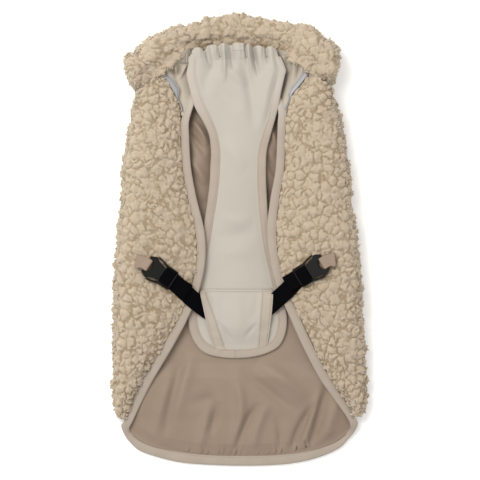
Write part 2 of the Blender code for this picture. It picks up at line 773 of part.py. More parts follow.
class Seat:
    """Frame of a hard piece that rests on the cloth: `along` it, `across` it and `up`."""

    def __init__(self, x, y, heading, ground):
        turn = math.radians(heading)
        self.ahead = np.array((math.cos(turn), math.sin(turn), 0.0))
        self.side = np.array((-math.sin(turn), math.cos(turn), 0.0))
        self.start = np.array((x, y, 0.0))
        reach = np.linspace(SEAT_FROM, SEAT_TO, 12)
        spots = [(self.start + self.ahead * u + self.side * v)[:2]
                 for u in reach for v in (-SEAT_HALF, 0.0, SEAT_HALF)]
        found = height_over(ground, spots).reshape(len(reach), 3).max(axis=1)
        slope, level = np.polyfit(reach, found, 1)
        self.start[2] = level + float(np.max(found - slope * reach - level)) + GAP
        self.ahead[2] = slope
        self.ahead /= np.linalg.norm(self.ahead)
        self.normal = np.cross(self.ahead, self.side)

    def point(self, along, across, up):
        return self.start + self.ahead * along + self.side * across + self.normal * up


def extrude_half(name, seat, half, low, high, finish):
    """A moulded piece with the given half outline, mirrored, and a slight draft at both faces."""
    outline = list(half) + [(along, -across) for along, across in reversed(half)]
    middle = np.mean(outline, axis=0)
    mesh_data = bmesh.new()
    rows = []
    for up, inset in ((low, DRAFT), (low + DRAFT_EDGE, 1.0), (high - DRAFT_EDGE, 1.0), (high, DRAFT)):
        spots = [middle + (np.array(spot) - middle) * inset for spot in outline]
        rows.append([mesh_data.verts.new(tuple(seat.point(a, c, up))) for a, c in spots])
    for this_row, next_row in zip(rows, rows[1:]):
        for i in range(len(outline)):
            j = (i + 1) % len(outline)
            mesh_data.faces.new((this_row[i], this_row[j], next_row[j], next_row[i]))
    mesh_data.faces.new(rows[0])
    mesh_data.faces.new(rows[-1])
    return add_solid(name, mesh_data, finish)


def join_bar(solid, seat, half, finish):
    """Join the cross bar that holds the webbing to a half of the buckle."""
    near, far, low, high, half_width = BARS[half]
    section = ((near, low), (far, low), (far, high), (near, high))
    rings = [[tuple(seat.point(along, across, up)) for along, up in section]
             for across in (-half_width, half_width)]
    bar = loft(solid.name + "_bar", rings, finish)
    bar.hide_render = True
    bar.display_type = "WIRE"
    joint = solid.modifiers.new("cross bar", "BOOLEAN")
    joint.operation = "UNION"
    joint.object = bar


def make_buckle(side, seat, plastic, nylon_web):
    """A fastened side-release buckle, and the webbing loop that holds its socket."""
    socket = extrude_half("buckle_socket_" + side, seat, SOCKET_HALF, SOCKET_LOW, SOCKET_TOP, plastic)
    join_bar(socket, seat, "socket", plastic)
    plug = extrude_half("buckle_plug_" + side, seat, PLUG_HALF, PLUG_LOW, PLUG_TOP, plastic)
    join_bar(plug, seat, "plug", plastic)
    skew = -1.0 if side == "left" else 1.0
    rings = []
    for along, up, inner_along, inner_up in LOOP_FOLD:
        ring = []
        for a, height, edge in ((along, up, 1), (along, up, -1), (inner_along, inner_up, -1),
                                (inner_along, inner_up, 1)):
            lean = max(0.0, -a - LEAN_FROM) * LEAN
            ring.append(seat.point(a + skew * edge * lean, LOOP_HALF * edge + skew * lean, height))
        rings.append(ring)
    loft("loop_" + side, rings, nylon_web, closed=True)


def make_strap(webbing, ground, seats):
    """The strap runs from one adjuster, through the tunnel, to the other; its tails double back."""
    plan = ribbon_plan(STRAP_ROUTE, STRAP_WIDTH, STRAP_COLUMNS, STRAP_CELLS)
    lifts = lay_over(ground, plan, GAP, STRAP_REACH, STRAP_PASSES)
    for seat in seats.values():
        for row, lift in zip(plan, lifts):
            for column, spot in enumerate(row):
                off = spot - seat.start[:2]
                along = float(np.dot(off, seat.ahead[:2]))
                if ADJUSTER_FROM < along < ADJUSTER_TO and np.linalg.norm(off) < ADJUSTER_TO + 2.0:
                    lift[column] = max(lift[column], seat.point(along, 0.0, ADJUSTER_LIFT)[2])
    strap = loft("belly_strap", ribbon_rings(plan, lifts, WEBBING), webbing)
    for side, seat in seats.items():
        end = BUCKLES[side][3]
        tail = [[seat.point(along, TAIL_DRIFT + STRAP_WIDTH * share, 0.0)[:2]
                 for share in np.linspace(-0.48, 0.48, STRAP_COLUMNS)]
                for along in np.linspace(TAIL_FROM, end, TAIL_CELLS)]
        lifts = lay_over([strap] + ground, tail, 2 * GAP, TAIL_REACH, TAIL_PASSES)
        loft("strap_tail_" + side, ribbon_rings(tail, lifts, WEBBING), webbing)
    return strap


def make_tunnel(softshell, ground):
    rows = spread(TUNNEL, TUNNEL_CELLS)
    plan = [[(x, y) for x in np.linspace(left, right, TUNNEL_COLUMNS)] for y, left, right in rows]
    lifts = lay_over(ground, plan, GAP, TUNNEL_REACH, 1)
    return loft("strap_tunnel", ribbon_rings(plan, lifts, TRIM), softshell)


def clear_scene():
    for thing in list(bpy.data.objects):
        bpy.data.objects.remove(thing, do_unlink=True)


def build_coat():
    clear_scene()
    fleece = material("curly_fleece", "BCAA94", 0.95)
    nylon = material("taupe_nylon", "9D8B7B", 0.6)
    softshell = material("cream_softshell", "CAC3B8", 0.8)
    tape = material("beige_tape", "C2B2A4", 0.85)
    webbing = material("navy_webbing", "0A0A0E", 0.75)
    loop_web = material("taupe_webbing", "A6917D", 0.85)
    silver = material("silver_reflective", "AAA498", 0.45)
    plastic = material("black_acetal", "2F2C26", 0.4)
    sides = make_sides(fleece, nylon, tape)
    make_back(sides, fleece, nylon)
    make_hem_tape(tape)
    make_collar(fleece)
    panel, binding = make_panel(softshell, tape)
    make_casing(softshell)
    make_facings(sides, softshell, silver)
    found = bpy.data.objects
    sides_top = [found[name] for name in ("shell_left", "shell_right", "binding_left", "binding_right")]
    seats = {side: Seat(x, y, heading, sides_top) for side, (x, y, heading, _) in BUCKLES.items()}
    strap = make_strap(webbing, [panel, binding] + sides_top, seats)
    make_tunnel(softshell, [panel, binding, strap])
    for side, seat in seats.items():
        make_buckle(side, seat, plastic, loop_web)


build_coat()
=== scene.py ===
import math

import bmesh
import bpy
import numpy as np
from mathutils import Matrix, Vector
from mathutils.bvhtree import BVHTree


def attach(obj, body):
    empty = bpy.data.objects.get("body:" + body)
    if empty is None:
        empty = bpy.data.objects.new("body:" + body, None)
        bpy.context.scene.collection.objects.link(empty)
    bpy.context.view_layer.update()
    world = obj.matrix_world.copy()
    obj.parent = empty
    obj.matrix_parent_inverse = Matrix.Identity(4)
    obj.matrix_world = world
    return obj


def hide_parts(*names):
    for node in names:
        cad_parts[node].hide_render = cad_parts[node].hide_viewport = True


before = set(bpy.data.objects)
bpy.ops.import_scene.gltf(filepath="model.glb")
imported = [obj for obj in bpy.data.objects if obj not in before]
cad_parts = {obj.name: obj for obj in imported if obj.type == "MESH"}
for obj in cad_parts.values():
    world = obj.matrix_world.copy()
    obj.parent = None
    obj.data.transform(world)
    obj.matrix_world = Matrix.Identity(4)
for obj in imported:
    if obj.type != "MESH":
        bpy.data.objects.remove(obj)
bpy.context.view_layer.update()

# The table, light and camera.
# The coat lies on a plain white light table under a large soft lamp at its upper left, and the
# camera looks straight down on it. Lengths here are millimetres, turned to metres by MM.
MM = 0.001
PICTURE_WIDTH = 528.0
PICTURE_LEVEL = 22.0
CAMERA_PLACE = (0.5, -0.5, 3000.0)
SENSOR = 36.0
TABLE_REACH = 3000.0
TABLE_DROP = 0.4
TABLE_GLOW = 0.2
ROOM_LIGHT = 0.74
LAMP_PLACE = (-600.0, 650.0, 1500.0)
LAMP_SIZE = 900.0
LAMP_WATTS = 22.0


def linear(code):
    """Linear colour of a six-digit sRGB hex code."""
    parts = [int(code[i:i + 2], 16) / 255.0 for i in (0, 2, 4)]
    return [p / 12.92 if p <= 0.04045 else ((p + 0.055) / 1.055) ** 2.4 for p in parts] + [1.0]


def add(tree, kind, inputs=None, **settings):
    """Add a node with its settings. An input is a value or the socket that feeds it."""
    node = tree.nodes.new(kind)
    for name, value in settings.items():
        setattr(node, name, value)
    for key, value in (inputs or {}).items():
        if isinstance(value, bpy.types.NodeSocket):
            tree.links.new(value, node.inputs[key])
        else:
            node.inputs[key].default_value = value
    return node


def surface(name, code, roughness, specular=0.3, sheen=0.0):
    """A new material with its constant values on the shader's own sockets."""
    finish = bpy.data.materials.new(name)
    finish.use_nodes = True
    shader = finish.node_tree.nodes["Principled BSDF"]
    shader.inputs["Base Color"].default_value = linear(code)
    shader.inputs["Roughness"].default_value = roughness
    shader.inputs["Specular IOR Level"].default_value = specular
    shader.inputs["Sheen Weight"].default_value = sheen
    shader.inputs["Sheen Roughness"].default_value = 0.6
    return finish, finish.node_tree, shader


def in_scene(name, data):
    """A new object in the scene that shows a mesh, a lamp or a camera."""
    made = bpy.data.objects.new(name, data)
    bpy.context.scene.collection.objects.link(made)
    return made


# Opal acrylic of a light table: matt white, glowing a little, so that shadows on it stay faint.
table_finish, _, glow = surface("opal_acrylic_table", "FBFAF8", 0.9)
glow.inputs["Emission Color"].default_value = linear("FFFFFF")
glow.inputs["Emission Strength"].default_value = TABLE_GLOW
corners = [(a * TABLE_REACH * MM, b * TABLE_REACH * MM, -TABLE_DROP * MM)
           for a, b in ((-1, -1), (1, -1), (1, 1), (-1, 1))]
table_mesh = bpy.data.meshes.new("table")
table_mesh.from_pydata(corners, [], [(0, 1, 2, 3)])
table_mesh.materials.append(table_finish)
in_scene("table", table_mesh)

sky = bpy.data.worlds.new("soft white room")
sky.use_nodes = True
room = sky.node_tree.nodes["Background"].inputs
room["Color"].default_value = (1.0, 1.0, 1.0, 1.0)
room["Strength"].default_value = ROOM_LIGHT
bpy.context.scene.world = sky
lamp = bpy.data.lights.new("softbox", "AREA")
lamp.energy = LAMP_WATTS
lamp.size = LAMP_SIZE * MM
lamp_stand = in_scene("softbox", lamp)
lamp_stand.location = Vector(LAMP_PLACE) * MM
lamp_stand.rotation_euler = lamp_stand.location.to_track_quat("Z", "Y").to_euler()
bpy.context.scene.view_settings.view_transform = "Standard"

lens = bpy.data.cameras.new("camera")
lens.sensor_width = SENSOR
lens.lens = SENSOR * (CAMERA_PLACE[2] - PICTURE_LEVEL) / PICTURE_WIDTH
eye = in_scene("camera", lens)
eye.location = Vector(CAMERA_PLACE) * MM
bpy.context.scene.camera = eye


# The fleece sides.
# Each side is one panel of curly sherpa fleece, cut with the back and folded over the belly. Its
# pile is knitted in, about 9 mm deep, and stands out in soft curls round the fold.
FLEECE = 9.0
NYLON_FAR = 1.6
FOLD_RADIUS = 20.0
FOLD_SHARE = 0.45
FOLD_LEAST = 0.4
SEAM_PAST_FOLD = 3.0
EDGE_WALL = 3.7
DOME_POWER = 2.2
CURL_SPACING = 1.15
FOLD_POINTS = 58
DOME_POINTS = 60
FAR_POINTS = 9
PRESSED_FROM = 12.0
PRESSED_REACH = 12.0
LEFT_SIDE = (
    # fold_x, fold_y, edge_x, edge_y, tape
    (-112.8, 161.2, -88.6, 182.1, 0.0),
    (-115.6, 151.6, -77.6, 170.6, 0.0),
    (-117.8, 141.0, -51.6, 152.4, 15.4),
    (-119.4, 131.8, -54.4, 142.4, 10.4),
    (-120.6, 122.4, -55.2, 130.8, 9.4),
    (-123.3, 108.0, -55.4, 113.9, 9.0),
    (-128.2, 76.0, -53.2, 78.4, 9.4),
    (-129.6, 43.5, -46.8, 43.5, 9.8),
    (-132.4, 10.0, -38.8, 10.0, 10.0),
    (-135.4, -22.6, -37.6, -23.4, 10.0),
    (-138.0, -55.6, -44.6, -56.6, 10.0),
    (-138.4, -88.6, -57.8, -88.6, 11.0),
    (-138.7, -121.6, -75.6, -121.6, 11.6),
    (-138.7, -154.6, -95.2, -154.6, 11.6),
    (-138.8, -179.0, -108.6, -180.6, 10.4),
    (-134.2, -197.6, -118.0, -201.0, 8.6),
)
RIGHT_SIDE = (
    # fold_x, fold_y, edge_x, edge_y, tape
    (101.6, 165.4, 78.4, 183.6, 0.0),
    (102.8, 155.6, 68.0, 170.2, 0.0),
    (106.2, 146.2, 57.8, 157.8, 0.0),
    (110.0, 134.4, 42.6, 138.6, 9.2),
    (112.4, 123.4, 42.0, 127.6, 9.0),
    (114.5, 109.5, 41.4, 111.7, 9.0),
    (119.8, 76.0, 39.6, 76.4, 9.4),
    (122.6, 43.5, 33.8, 43.5, 9.8),
    (127.2, 10.0, 30.4, 9.6, 10.0),
    (131.4, -22.6, 33.6, -22.6, 10.0),
    (133.0, -55.6, 42.4, -55.6, 10.0),
    (135.4, -88.6, 56.7, -88.6, 11.0),
    (137.6, -121.6, 71.6, -121.6, 11.6),
    (138.7, -154.6, 89.3, -154.6, 11.6),
    (139.6, -177.0, 106.0, -178.4, 10.4),
    (134.6, -194.6, 119.0, -197.0, 8.0),
)
SIDE_HEIGHTS = (
    # y, crown, edge_top, fleece
    (-200.0, 17.6, 13.2, 5.2),
    (-192.0, 20.0, 13.4, 6.2),
    (-178.0, 24.0, 15.5, 7.5),
    (-155.0, 29.0, 18.5, 8.5),
    (-121.0, 34.0, 21.0, 9.0),
    (-66.0, 39.0, 24.0, 9.0),
    (0.0, 41.0, 24.5, 9.0),
    (60.0, 41.5, 26.5, 9.0),
    (130.0, 42.0, 29.5, 9.0),
    (190.0, 44.0, 32.0, 9.0),
)


def read_off(table, place, column):
    """A table's column, read at places along its first column."""
    rows = np.array(sorted(table))
    return np.interp(place, rows[:, 0], rows[:, column])


def spread(rows, count):
    """Read `count` evenly spaced rows from a smooth curve through a table's rows."""
    rows = np.array(rows, float)
    last = len(rows) - 1
    steps = np.linspace(0.0, last, count)
    start = np.clip(steps.astype(int), 0, last - 1)
    t = (steps - start)[:, None]
    before, here = rows[np.maximum(start - 1, 0)], rows[start]
    ahead, after = rows[start + 1], rows[np.minimum(start + 2, last)]
    return 0.5 * (2 * here + (ahead - before) * t + (2 * before - 5 * here + 4 * ahead - after) * t ** 2
                  + (3 * here - before - 3 * ahead + after) * t ** 3)


def even(rows, spacing, columns=(0, 1)):
    """Rows at an even distance apart along a smooth curve, measured over two plan columns."""
    fine = spread(rows, 40 * len(rows))
    step = np.linalg.norm(np.diff(fine[:, list(columns)], axis=0), axis=1)
    along = np.concatenate(([0.0], np.cumsum(step)))
    places = np.linspace(0.0, along[-1], int(along[-1] / spacing) + 2)
    return np.stack([np.interp(places, along, column) for column in fine.T], axis=1)


def make_piece(name, points, faces, finish):
    """A smooth named mesh from points in millimetres, turned the right way out."""
    points = np.asarray(points, float).reshape(-1, 3)
    mesh = bpy.data.meshes.new(name)
    mesh.from_pydata((points * MM).tolist(), [], faces)
    mesh.update()
    mesh.calc_loop_triangles()
    corners = np.zeros(len(mesh.loop_triangles) * 3, np.int32)
    mesh.loop_triangles.foreach_get("vertices", corners)
    a, b, c = points[corners.reshape(-1, 3).T]
    if np.einsum("ij,ij->", a, np.cross(b, c)) < 0.0:
        mesh.flip_normals()
    mesh.shade_smooth()
    mesh.materials.append(finish)
    return in_scene(name, mesh)


def tube(name, rings, finish, closed=False):
    """Skin rings of points, given as rows x points x 3. Ends are capped unless it is closed."""
    rows, count = rings.shape[:2]
    index = np.arange(rows * count).reshape(rows, count)
    if closed:
        index = np.vstack((index, index[:1]))
    ahead = np.roll(index, -1, axis=1)
    faces = np.stack((index[:-1], ahead[:-1], ahead[1:], index[1:]), axis=-1).reshape(-1, 4).tolist()
    if not closed:
        faces += [index[0, ::-1].tolist(), index[-1].tolist()]
    return make_piece(name, rings, faces, finish)


def settle(piece, slot, *nodes):
    """Seat a finished piece in the frame, in place of the solids that it stands for."""
    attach(piece, "root")
    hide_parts(*nodes)


def side_curve(rows, depth, fold_points, dome_points):
    """Curves across a side, `depth` under its outer face, from the seam below to the free edge."""
    fold, edge = rows[:, 0:2], rows[:, 2:4]
    span = np.linalg.norm(edge - fold, axis=1)
    along = (edge - fold) / span[:, None]
    crown, edge_top, fleece = (read_off(SIDE_HEIGHTS, rows[:, 3], column) for column in (1, 2, 3))
    cloth = span - rows[:, 4]
    radius = np.minimum(FOLD_RADIUS, FOLD_SHARE * cloth)
    squeeze = np.minimum(1.0, (radius - FOLD_LEAST) / (fleece + NYLON_FAR))
    depth = np.minimum(depth, FLEECE) / FLEECE * fleece + max(depth - FLEECE, 0.0)
    edge_depth = np.minimum(depth / fleece, 1.0) * EDGE_WALL + np.maximum(depth - fleece, 0.0)
    reach = [radius + SEAM_PAST_FOLD]
    level = [depth]
    for turn in np.linspace(-math.pi / 2, math.pi / 2, fold_points):
        reach.append(radius - (radius - depth * squeeze) * math.cos(turn))
        level.append(crown / 2 + (crown / 2 - depth) * math.sin(turn))
    for share in np.linspace(0.0, 1.0, dome_points + 1)[1:]:
        fall = share ** DOME_POWER
        reach.append(radius + (cloth - radius) * share)
        level.append(crown + (edge_top - crown) * fall - depth - (edge_depth - depth) * fall)
    spots = fold[:, None] + along[:, None] * np.stack(reach, axis=1)[..., None]
    return np.concatenate((spots, np.stack(level, axis=1)[..., None]), axis=2)


def open_tree(name, source, numbers, result):
    """A geometry nodes tree with its sockets: geometry, named numbers, a seed and a finish."""
    tree = bpy.data.node_groups.new(name, "GeometryNodeTree")
    sockets = {source: "Geometry", **dict.fromkeys(numbers, "Float"), "Seed": "Int", "Finish": "Material"}
    for label, kind in sockets.items():
        tree.interface.new_socket(label, in_out="INPUT", socket_type="NodeSocket" + kind)
    tree.interface.new_socket(result, in_out="OUTPUT", socket_type="NodeSocketGeometry")
    return tree, tree.nodes.new("NodeGroupInput").outputs


def close_tree(tree, geometry, finish):
    """End a geometry nodes tree: make its copies real and give them their material."""
    whole = add(tree, "GeometryNodeRealizeInstances", {"Geometry": geometry}).outputs[0]
    done = add(tree, "GeometryNodeSetMaterial", {"Geometry": whole, "Material": finish}).outputs[0]
    tree.links.new(done, tree.nodes.new("NodeGroupOutput").inputs[0])
    return tree


def scatter(tree, seed, points, shape, rotation, sides, least, most):
    """Set a copy of a shape on each point, as large as its three sides times a random share."""
    size = add(tree, "ShaderNodeCombineXYZ", dict(enumerate(sides))).outputs[0]
    share = add(tree, "FunctionNodeRandomValue", {2: least, 3: most, "Seed": seed}, data_type="FLOAT")
    varied = {0: size, "Scale": share.outputs[1]}
    size = add(tree, "ShaderNodeVectorMath", varied, operation="SCALE").outputs[0]
    return add(tree, "GeometryNodeInstanceOnPoints",
               {"Points": points, "Instance": shape, "Rotation": rotation, "Scale": size}).outputs[0]


def reckon(tree, made, steps):
    """Add a node for each step: its result's name, kind, operation and values or earlier names."""
    for name, kind, operation, *values in steps:
        inputs = {place: made.get(value, value) for place, value in enumerate(values)}
        made[name] = add(tree, "ShaderNode" + kind, inputs, operation=operation).outputs[0]


def grow(piece, tree, **inputs):
    """Run a geometry nodes tree on a piece and keep the result as its plain mesh."""
    modifier = piece.modifiers.new("grown", "NODES")
    modifier.node_group = tree
    for item in tree.interface.items_tree:
        key = item.name.replace(" ", "_").lower()
        if item.in_out == "INPUT" and key in inputs:
            modifier[item.identifier] = inputs[key]
    depsgraph = bpy.context.evaluated_depsgraph_get()
    made = bpy.data.meshes.new_from_object(piece.evaluated_get(depsgraph), depsgraph=depsgraph)
    piece.modifiers.remove(modifier)
    made.name = piece.name
    made.shade_smooth()
    piece.data = made


def pile_tree():
    """Geometry nodes that raise a cloth's face into curls and set tufts of fibre round its outline."""
    numbers = ("Curl scale", "Curl height", "Crease tone", "Fine height", "Swell", "Wander", "Tuft spacing",
               "Tuft length", "Tuft width")
    tree, start = open_tree("curly pile", "Cloth", numbers, "Pile")
    half = (0.5, 0.5, 0.5)
    # Nothing is pushed lower than this place on the table's top.
    table_top = (-9.0, -9.0, 0.1 * MM)
    made = dict(start.items())
    made["where"] = add(tree, "GeometryNodeInputPosition").outputs[0]
    made["normal"] = add(tree, "GeometryNodeInputNormal").outputs[0]
    made["up"] = add(tree, "ShaderNodeSeparateXYZ", {0: made["normal"]}).outputs[2]
    for name in ("pile", "rim"):
        stored = add(tree, "GeometryNodeInputNamedAttribute", {"Name": name}, data_type="FLOAT")
        made[name] = stored.outputs["Attribute"]
    for name, scale, detail, output in (
        # name, how many to a metre, detail and output: a colour moves points, a factor is one share
        ("wander", 175.0, 2.0, "Color"), ("ruffle", 320.0, 1.0, "Color"), ("broken", 105.0, 1.0, "Fac"),
        ("uneven", 62.0, 2.0, "Fac"), ("bulge", 40.0, 2.0, "Fac"),
    ):
        cloud = add(tree, "ShaderNodeTexNoise", {"Vector": made["where"], "Scale": scale, "Detail": detail})
        made[name] = cloud.outputs[output]
    gaps = {0: made["broken"], 1: 0.38, 2: 0.58, 3: 0.25}
    made["broken"] = add(tree, "ShaderNodeMapRange", gaps).outputs[0]
    reckon(tree, made, (
        ("wander", "VectorMath", "SUBTRACT", "wander", half),
        ("bent", "VectorMath", "MULTIPLY_ADD", "wander", "Wander", "where"),
    ))
    for lump, scale, crease, line in (
        # lumps, how many to a metre, then how far the crease and its dark line reach into one
        ("large", made["Curl scale"], 0.34, 0.17), ("small", 205.0, 0.4, 0.28),
    ):
        cells = {"Vector": made["bent"], "Scale": scale}
        edge = add(tree, "ShaderNodeTexVoronoi", cells, feature="DISTANCE_TO_EDGE").outputs["Distance"]
        made["middle"] = add(tree, "ShaderNodeTexVoronoi", cells, feature="F1").outputs["Distance"]
        for part, reach in (("wall", crease), ("line", line)):
            ramp = add(tree, "ShaderNodeMapRange", {0: edge, 2: reach}, interpolation_type="SMOOTHSTEP")
            made[part] = ramp.outputs[0]
        # A lump is highest over its middle and falls to nothing in the crease round it.
        reckon(tree, made, (
            ("ball", "Math", "POWER", "middle", 2.0),
            ("ball", "Math", "MULTIPLY_ADD", "ball", -1.6, 1.0),
            ("ball", "Math", "MAXIMUM", "ball", 0.0),
            ("ball", "Math", "MULTIPLY_ADD", "ball", 0.65, 0.45),
            ("wall", "Math", "POWER", "wall", 0.6),
            (lump, "Math", "MULTIPLY", "wall", "ball"),
            (lump + " line", "Math", "SUBTRACT", 1.0, "line"),
        ))
    reckon(tree, made, (
        # Curls are of uneven depth, with finer ones on them, over a slow swell of the whole cloth.
        ("depth", "Math", "SUBTRACT", "uneven", 0.3),
        ("depth", "Math", "MAXIMUM", "depth", 0.0),
        ("depth", "Math", "MULTIPLY_ADD", "depth", 2.2, 0.5),
        ("curl", "Math", "MULTIPLY_ADD", "large", "depth", -0.5),
        ("rise", "Math", "MULTIPLY", "curl", "Curl height"),
        ("rise", "Math", "MULTIPLY_ADD", "small", "Fine height", "rise"),
        ("bulge", "Math", "SUBTRACT", "bulge", 0.5),
        ("rise", "Math", "MULTIPLY_ADD", "bulge", "Swell", "rise"),
        # Painted shade: the tone falls along broken lines in the creases, in the hollows and where the pile
        # ends.
        ("shade", "Math", "MULTIPLY", "large line", "broken"),
        ("shade", "Math", "MULTIPLY", "shade", "Crease tone"),
        ("hollow", "Math", "SUBTRACT", 1.0, "large"),
        ("hollow", "Math", "MULTIPLY", "hollow", "depth"),
        ("shade", "Math", "MULTIPLY_ADD", "hollow", 0.26, "shade"),
        ("shade", "Math", "MULTIPLY_ADD", "small line", 0.24, "shade"),
        ("shade", "Math", "MINIMUM", "shade", 0.72),
        ("bare", "Math", "SUBTRACT", 1.0, "pile"),
        ("shade", "Math", "MULTIPLY_ADD", "bare", 0.45, "shade"),
        ("tone", "Math", "SUBTRACT", 1.0, "shade"),
        # Where the cloth turns down, its pile opens and tufts stand out.
        ("steep", "Math", "ABSOLUTE", "up"),
        ("steep", "Math", "MULTIPLY_ADD", "steep", -0.85, 1.0),
        ("outline", "Math", "SUBTRACT", "steep", 0.34),
        ("outline", "Math", "MAXIMUM", "outline", 0.0),
        ("outline", "Math", "MULTIPLY", "outline", 1.8),
        ("open", "Math", "MULTIPLY_ADD", "steep", 0.45, 0.9),
        ("rise", "Math", "MULTIPLY", "rise", "open"),
        ("rise", "Math", "MULTIPLY", "rise", "pile"),
        ("lifted", "VectorMath", "MULTIPLY_ADD", "normal", "rise", "where"),
        ("lifted", "VectorMath", "MAXIMUM", "lifted", table_top),
        ("density", "Math", "MULTIPLY", "pile", "rim"),
        ("ruffle", "VectorMath", "SUBTRACT", "ruffle", half),
        ("ruffled", "VectorMath", "MULTIPLY_ADD", "ruffle", "Tuft width", "where"),
        ("ruffled", "VectorMath", "MAXIMUM", "ruffled", table_top),
    ))
    cloth = start["Cloth"]
    for name, value in (("height", made["tone"]), ("rim", made["outline"])):
        cloth = add(tree, "GeometryNodeStoreNamedAttribute",
                    {"Geometry": cloth, "Name": name, "Value": value},
                    data_type="FLOAT", domain="POINT").outputs[0]
    raised = add(tree, "GeometryNodeSetPosition", {"Geometry": cloth, "Position": made["lifted"]}).outputs[0]
    spots = add(tree, "GeometryNodeDistributePointsOnFaces",
                {"Mesh": raised, "Distance Min": start["Tuft spacing"], "Density Max": 400000.0,
                 "Density Factor": made["density"], "Seed": start["Seed"]}, distribute_method="POISSON")
    tuft = add(tree, "GeometryNodeMeshIcoSphere", {"Radius": 0.5, "Subdivisions": 1}).outputs[0]
    tilt = add(tree, "FunctionNodeRandomValue",
               {0: (-0.9, -0.9, -3.2), 1: (0.9, 0.9, 3.2), "Seed": start["Seed"]}, data_type="FLOAT_VECTOR")
    turn = add(tree, "FunctionNodeRotateRotation", {0: spots.outputs["Rotation"], 1: tilt.outputs[0]},
               rotation_space="LOCAL").outputs[0]
    sides = (start["Tuft width"], start["Tuft width"], start["Tuft length"])
    tufts = scatter(tree, start["Seed"], spots.outputs[0], tuft, turn, sides, 0.6, 1.3)
    tufts = add(tree, "GeometryNodeRealizeInstances", {"Geometry": tufts}).outputs[0]
    tufts = add(tree, "GeometryNodeSetPosition", {"Geometry": tufts, "Position": made["ruffled"]}).outputs[0]
    tufts = add(tree, "GeometryNodeStoreNamedAttribute", {"Geometry": tufts, "Name": "height", "Value": 0.6},
                data_type="FLOAT", domain="POINT").outputs[0]
    joined = add(tree, "GeometryNodeJoinGeometry")
    for part in (tufts, raised):
        tree.links.new(part, joined.inputs[0])
    return close_tree(tree, joined.outputs[0], start["Finish"])


def search_tree(node):
    """A search tree over a solid of the frame, for rays."""
    solid = bmesh.new()
    solid.from_mesh(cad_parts[node].data)
    found = BVHTree.FromBMesh(solid)
    solid.free()
    return found


PRESSING = [search_tree(node) for node in (
    "belly_strap", "buckle_plug_left", "buckle_plug_right", "buckle_socket_left", "buckle_socket_right",
    "loop_left", "loop_right", "strap_tail_left", "strap_tail_right")]


def pressed(points, mask):
    """Take the pile mask down where webbing or a buckle lies just over the cloth."""
    up, clear = Vector((0.0, 0.0, 1.0)), np.array((0.0, 0.0, 0.3))
    for place in map(tuple, np.argwhere(points[..., 2] > PRESSED_FROM)):
        spot = Vector((points[place] + clear).tolist()) * MM
        if any(solid.ray_cast(spot, up, PRESSED_REACH * MM)[0] for solid in PRESSING):
            mask[place] = 0.0
    near = sum(np.roll(mask, shift, axis) for axis in (0, 1) for shift in (1, -1)) / 4.0
    return np.minimum(mask, near)


def pile_up(piece, mask, seed, **changes):
    """Grow pile on a cloth as far as its mask says, from none at zero to the full height at one, with painted
    shade where the mask is low.
    """
    share = piece.data.attributes.new("pile", "FLOAT", "POINT")
    share.data.foreach_set("value", np.ravel(mask).astype(np.float32))
    grow(piece, curly_pile, seed=seed, **{**PILE, **changes})


# Polyester sherpa, brushed and tumbled into curls: fully matt and creamy at its tips, with painted shade
# that browns the creases between the curls, and a faint light rim from its fine fibres.
sherpa, tree, shader = surface("tumbled_polyester_sherpa", "B8A893", 1.0, 0.1, 0.1)
shader.inputs["Subsurface Weight"].default_value = 0.6
shader.inputs["Subsurface Radius"].default_value = (1.0, 0.9, 0.75)
shader.inputs["Subsurface Scale"].default_value = 4.0 * MM
height = add(tree, "ShaderNodeAttribute", attribute_name="height").outputs["Fac"]
tone = add(tree, "ShaderNodeValToRGB", {"Fac": height})
# The ramp's brown end is painted shade in the creases and hollows; its light end is the fleece's cream.
for stop, position, code in zip(tone.color_ramp.elements, (0.0, 0.55), ("7D6642", "B5A590")):
    stop.position = position
    stop.color = linear(code)
place = add(tree, "ShaderNodeTexCoord").outputs["Object"]
fibre = add(tree, "ShaderNodeTexNoise", {"Vector": place, "Scale": 380.0, "Detail": 4.0, "Roughness": 0.6})
fuzz = add(tree, "ShaderNodeBump", {"Height": fibre.outputs["Fac"], "Strength": 0.5, "Distance": 1.3 * MM})
tree.links.new(tone.outputs["Color"], shader.inputs["Base Color"])
tree.links.new(fuzz.outputs["Normal"], shader.inputs["Normal"])

curly_pile = pile_tree()
# crease_tone sets how dark the painted shade in the creases is.
PILE = {"curl_scale": 102.0, "curl_height": 2.5 * MM, "crease_tone": 0.6, "fine_height": 1.2 * MM,
        "swell": 3.0 * MM, "wander": 8.0 * MM, "tuft_spacing": 1.8 * MM, "tuft_length": 4.6 * MM,
        "tuft_width": 1.7 * MM, "finish": sherpa}
for side, table_rows, seed in (("left", LEFT_SIDE, 3), ("right", RIGHT_SIDE, 31)):
    rows = even(table_rows, CURL_SPACING, (2, 3))
    outer = side_curve(rows, 0.0, FOLD_POINTS, DOME_POINTS)
    inner = side_curve(rows, FLEECE, FAR_POINTS, FAR_POINTS)
    rings = np.concatenate((outer, inner[:, ::-1]), axis=1)
    piece = tube("fleece_" + side, rings, sherpa)
    count = np.arange(rings.shape[1])
    # The pile fades out by the tape and under webbing and buckles, where painted shade darkens its tone.
    mask = np.clip(count / 3.0, 0.0, 1.0) * np.clip((outer.shape[1] - count) / 2.0, 0.0, 1.0)
    pile_up(piece, pressed(rings, np.tile(mask, (len(rings), 1))), seed)
    settle(piece, "curly_fleece", "shell_" + side)


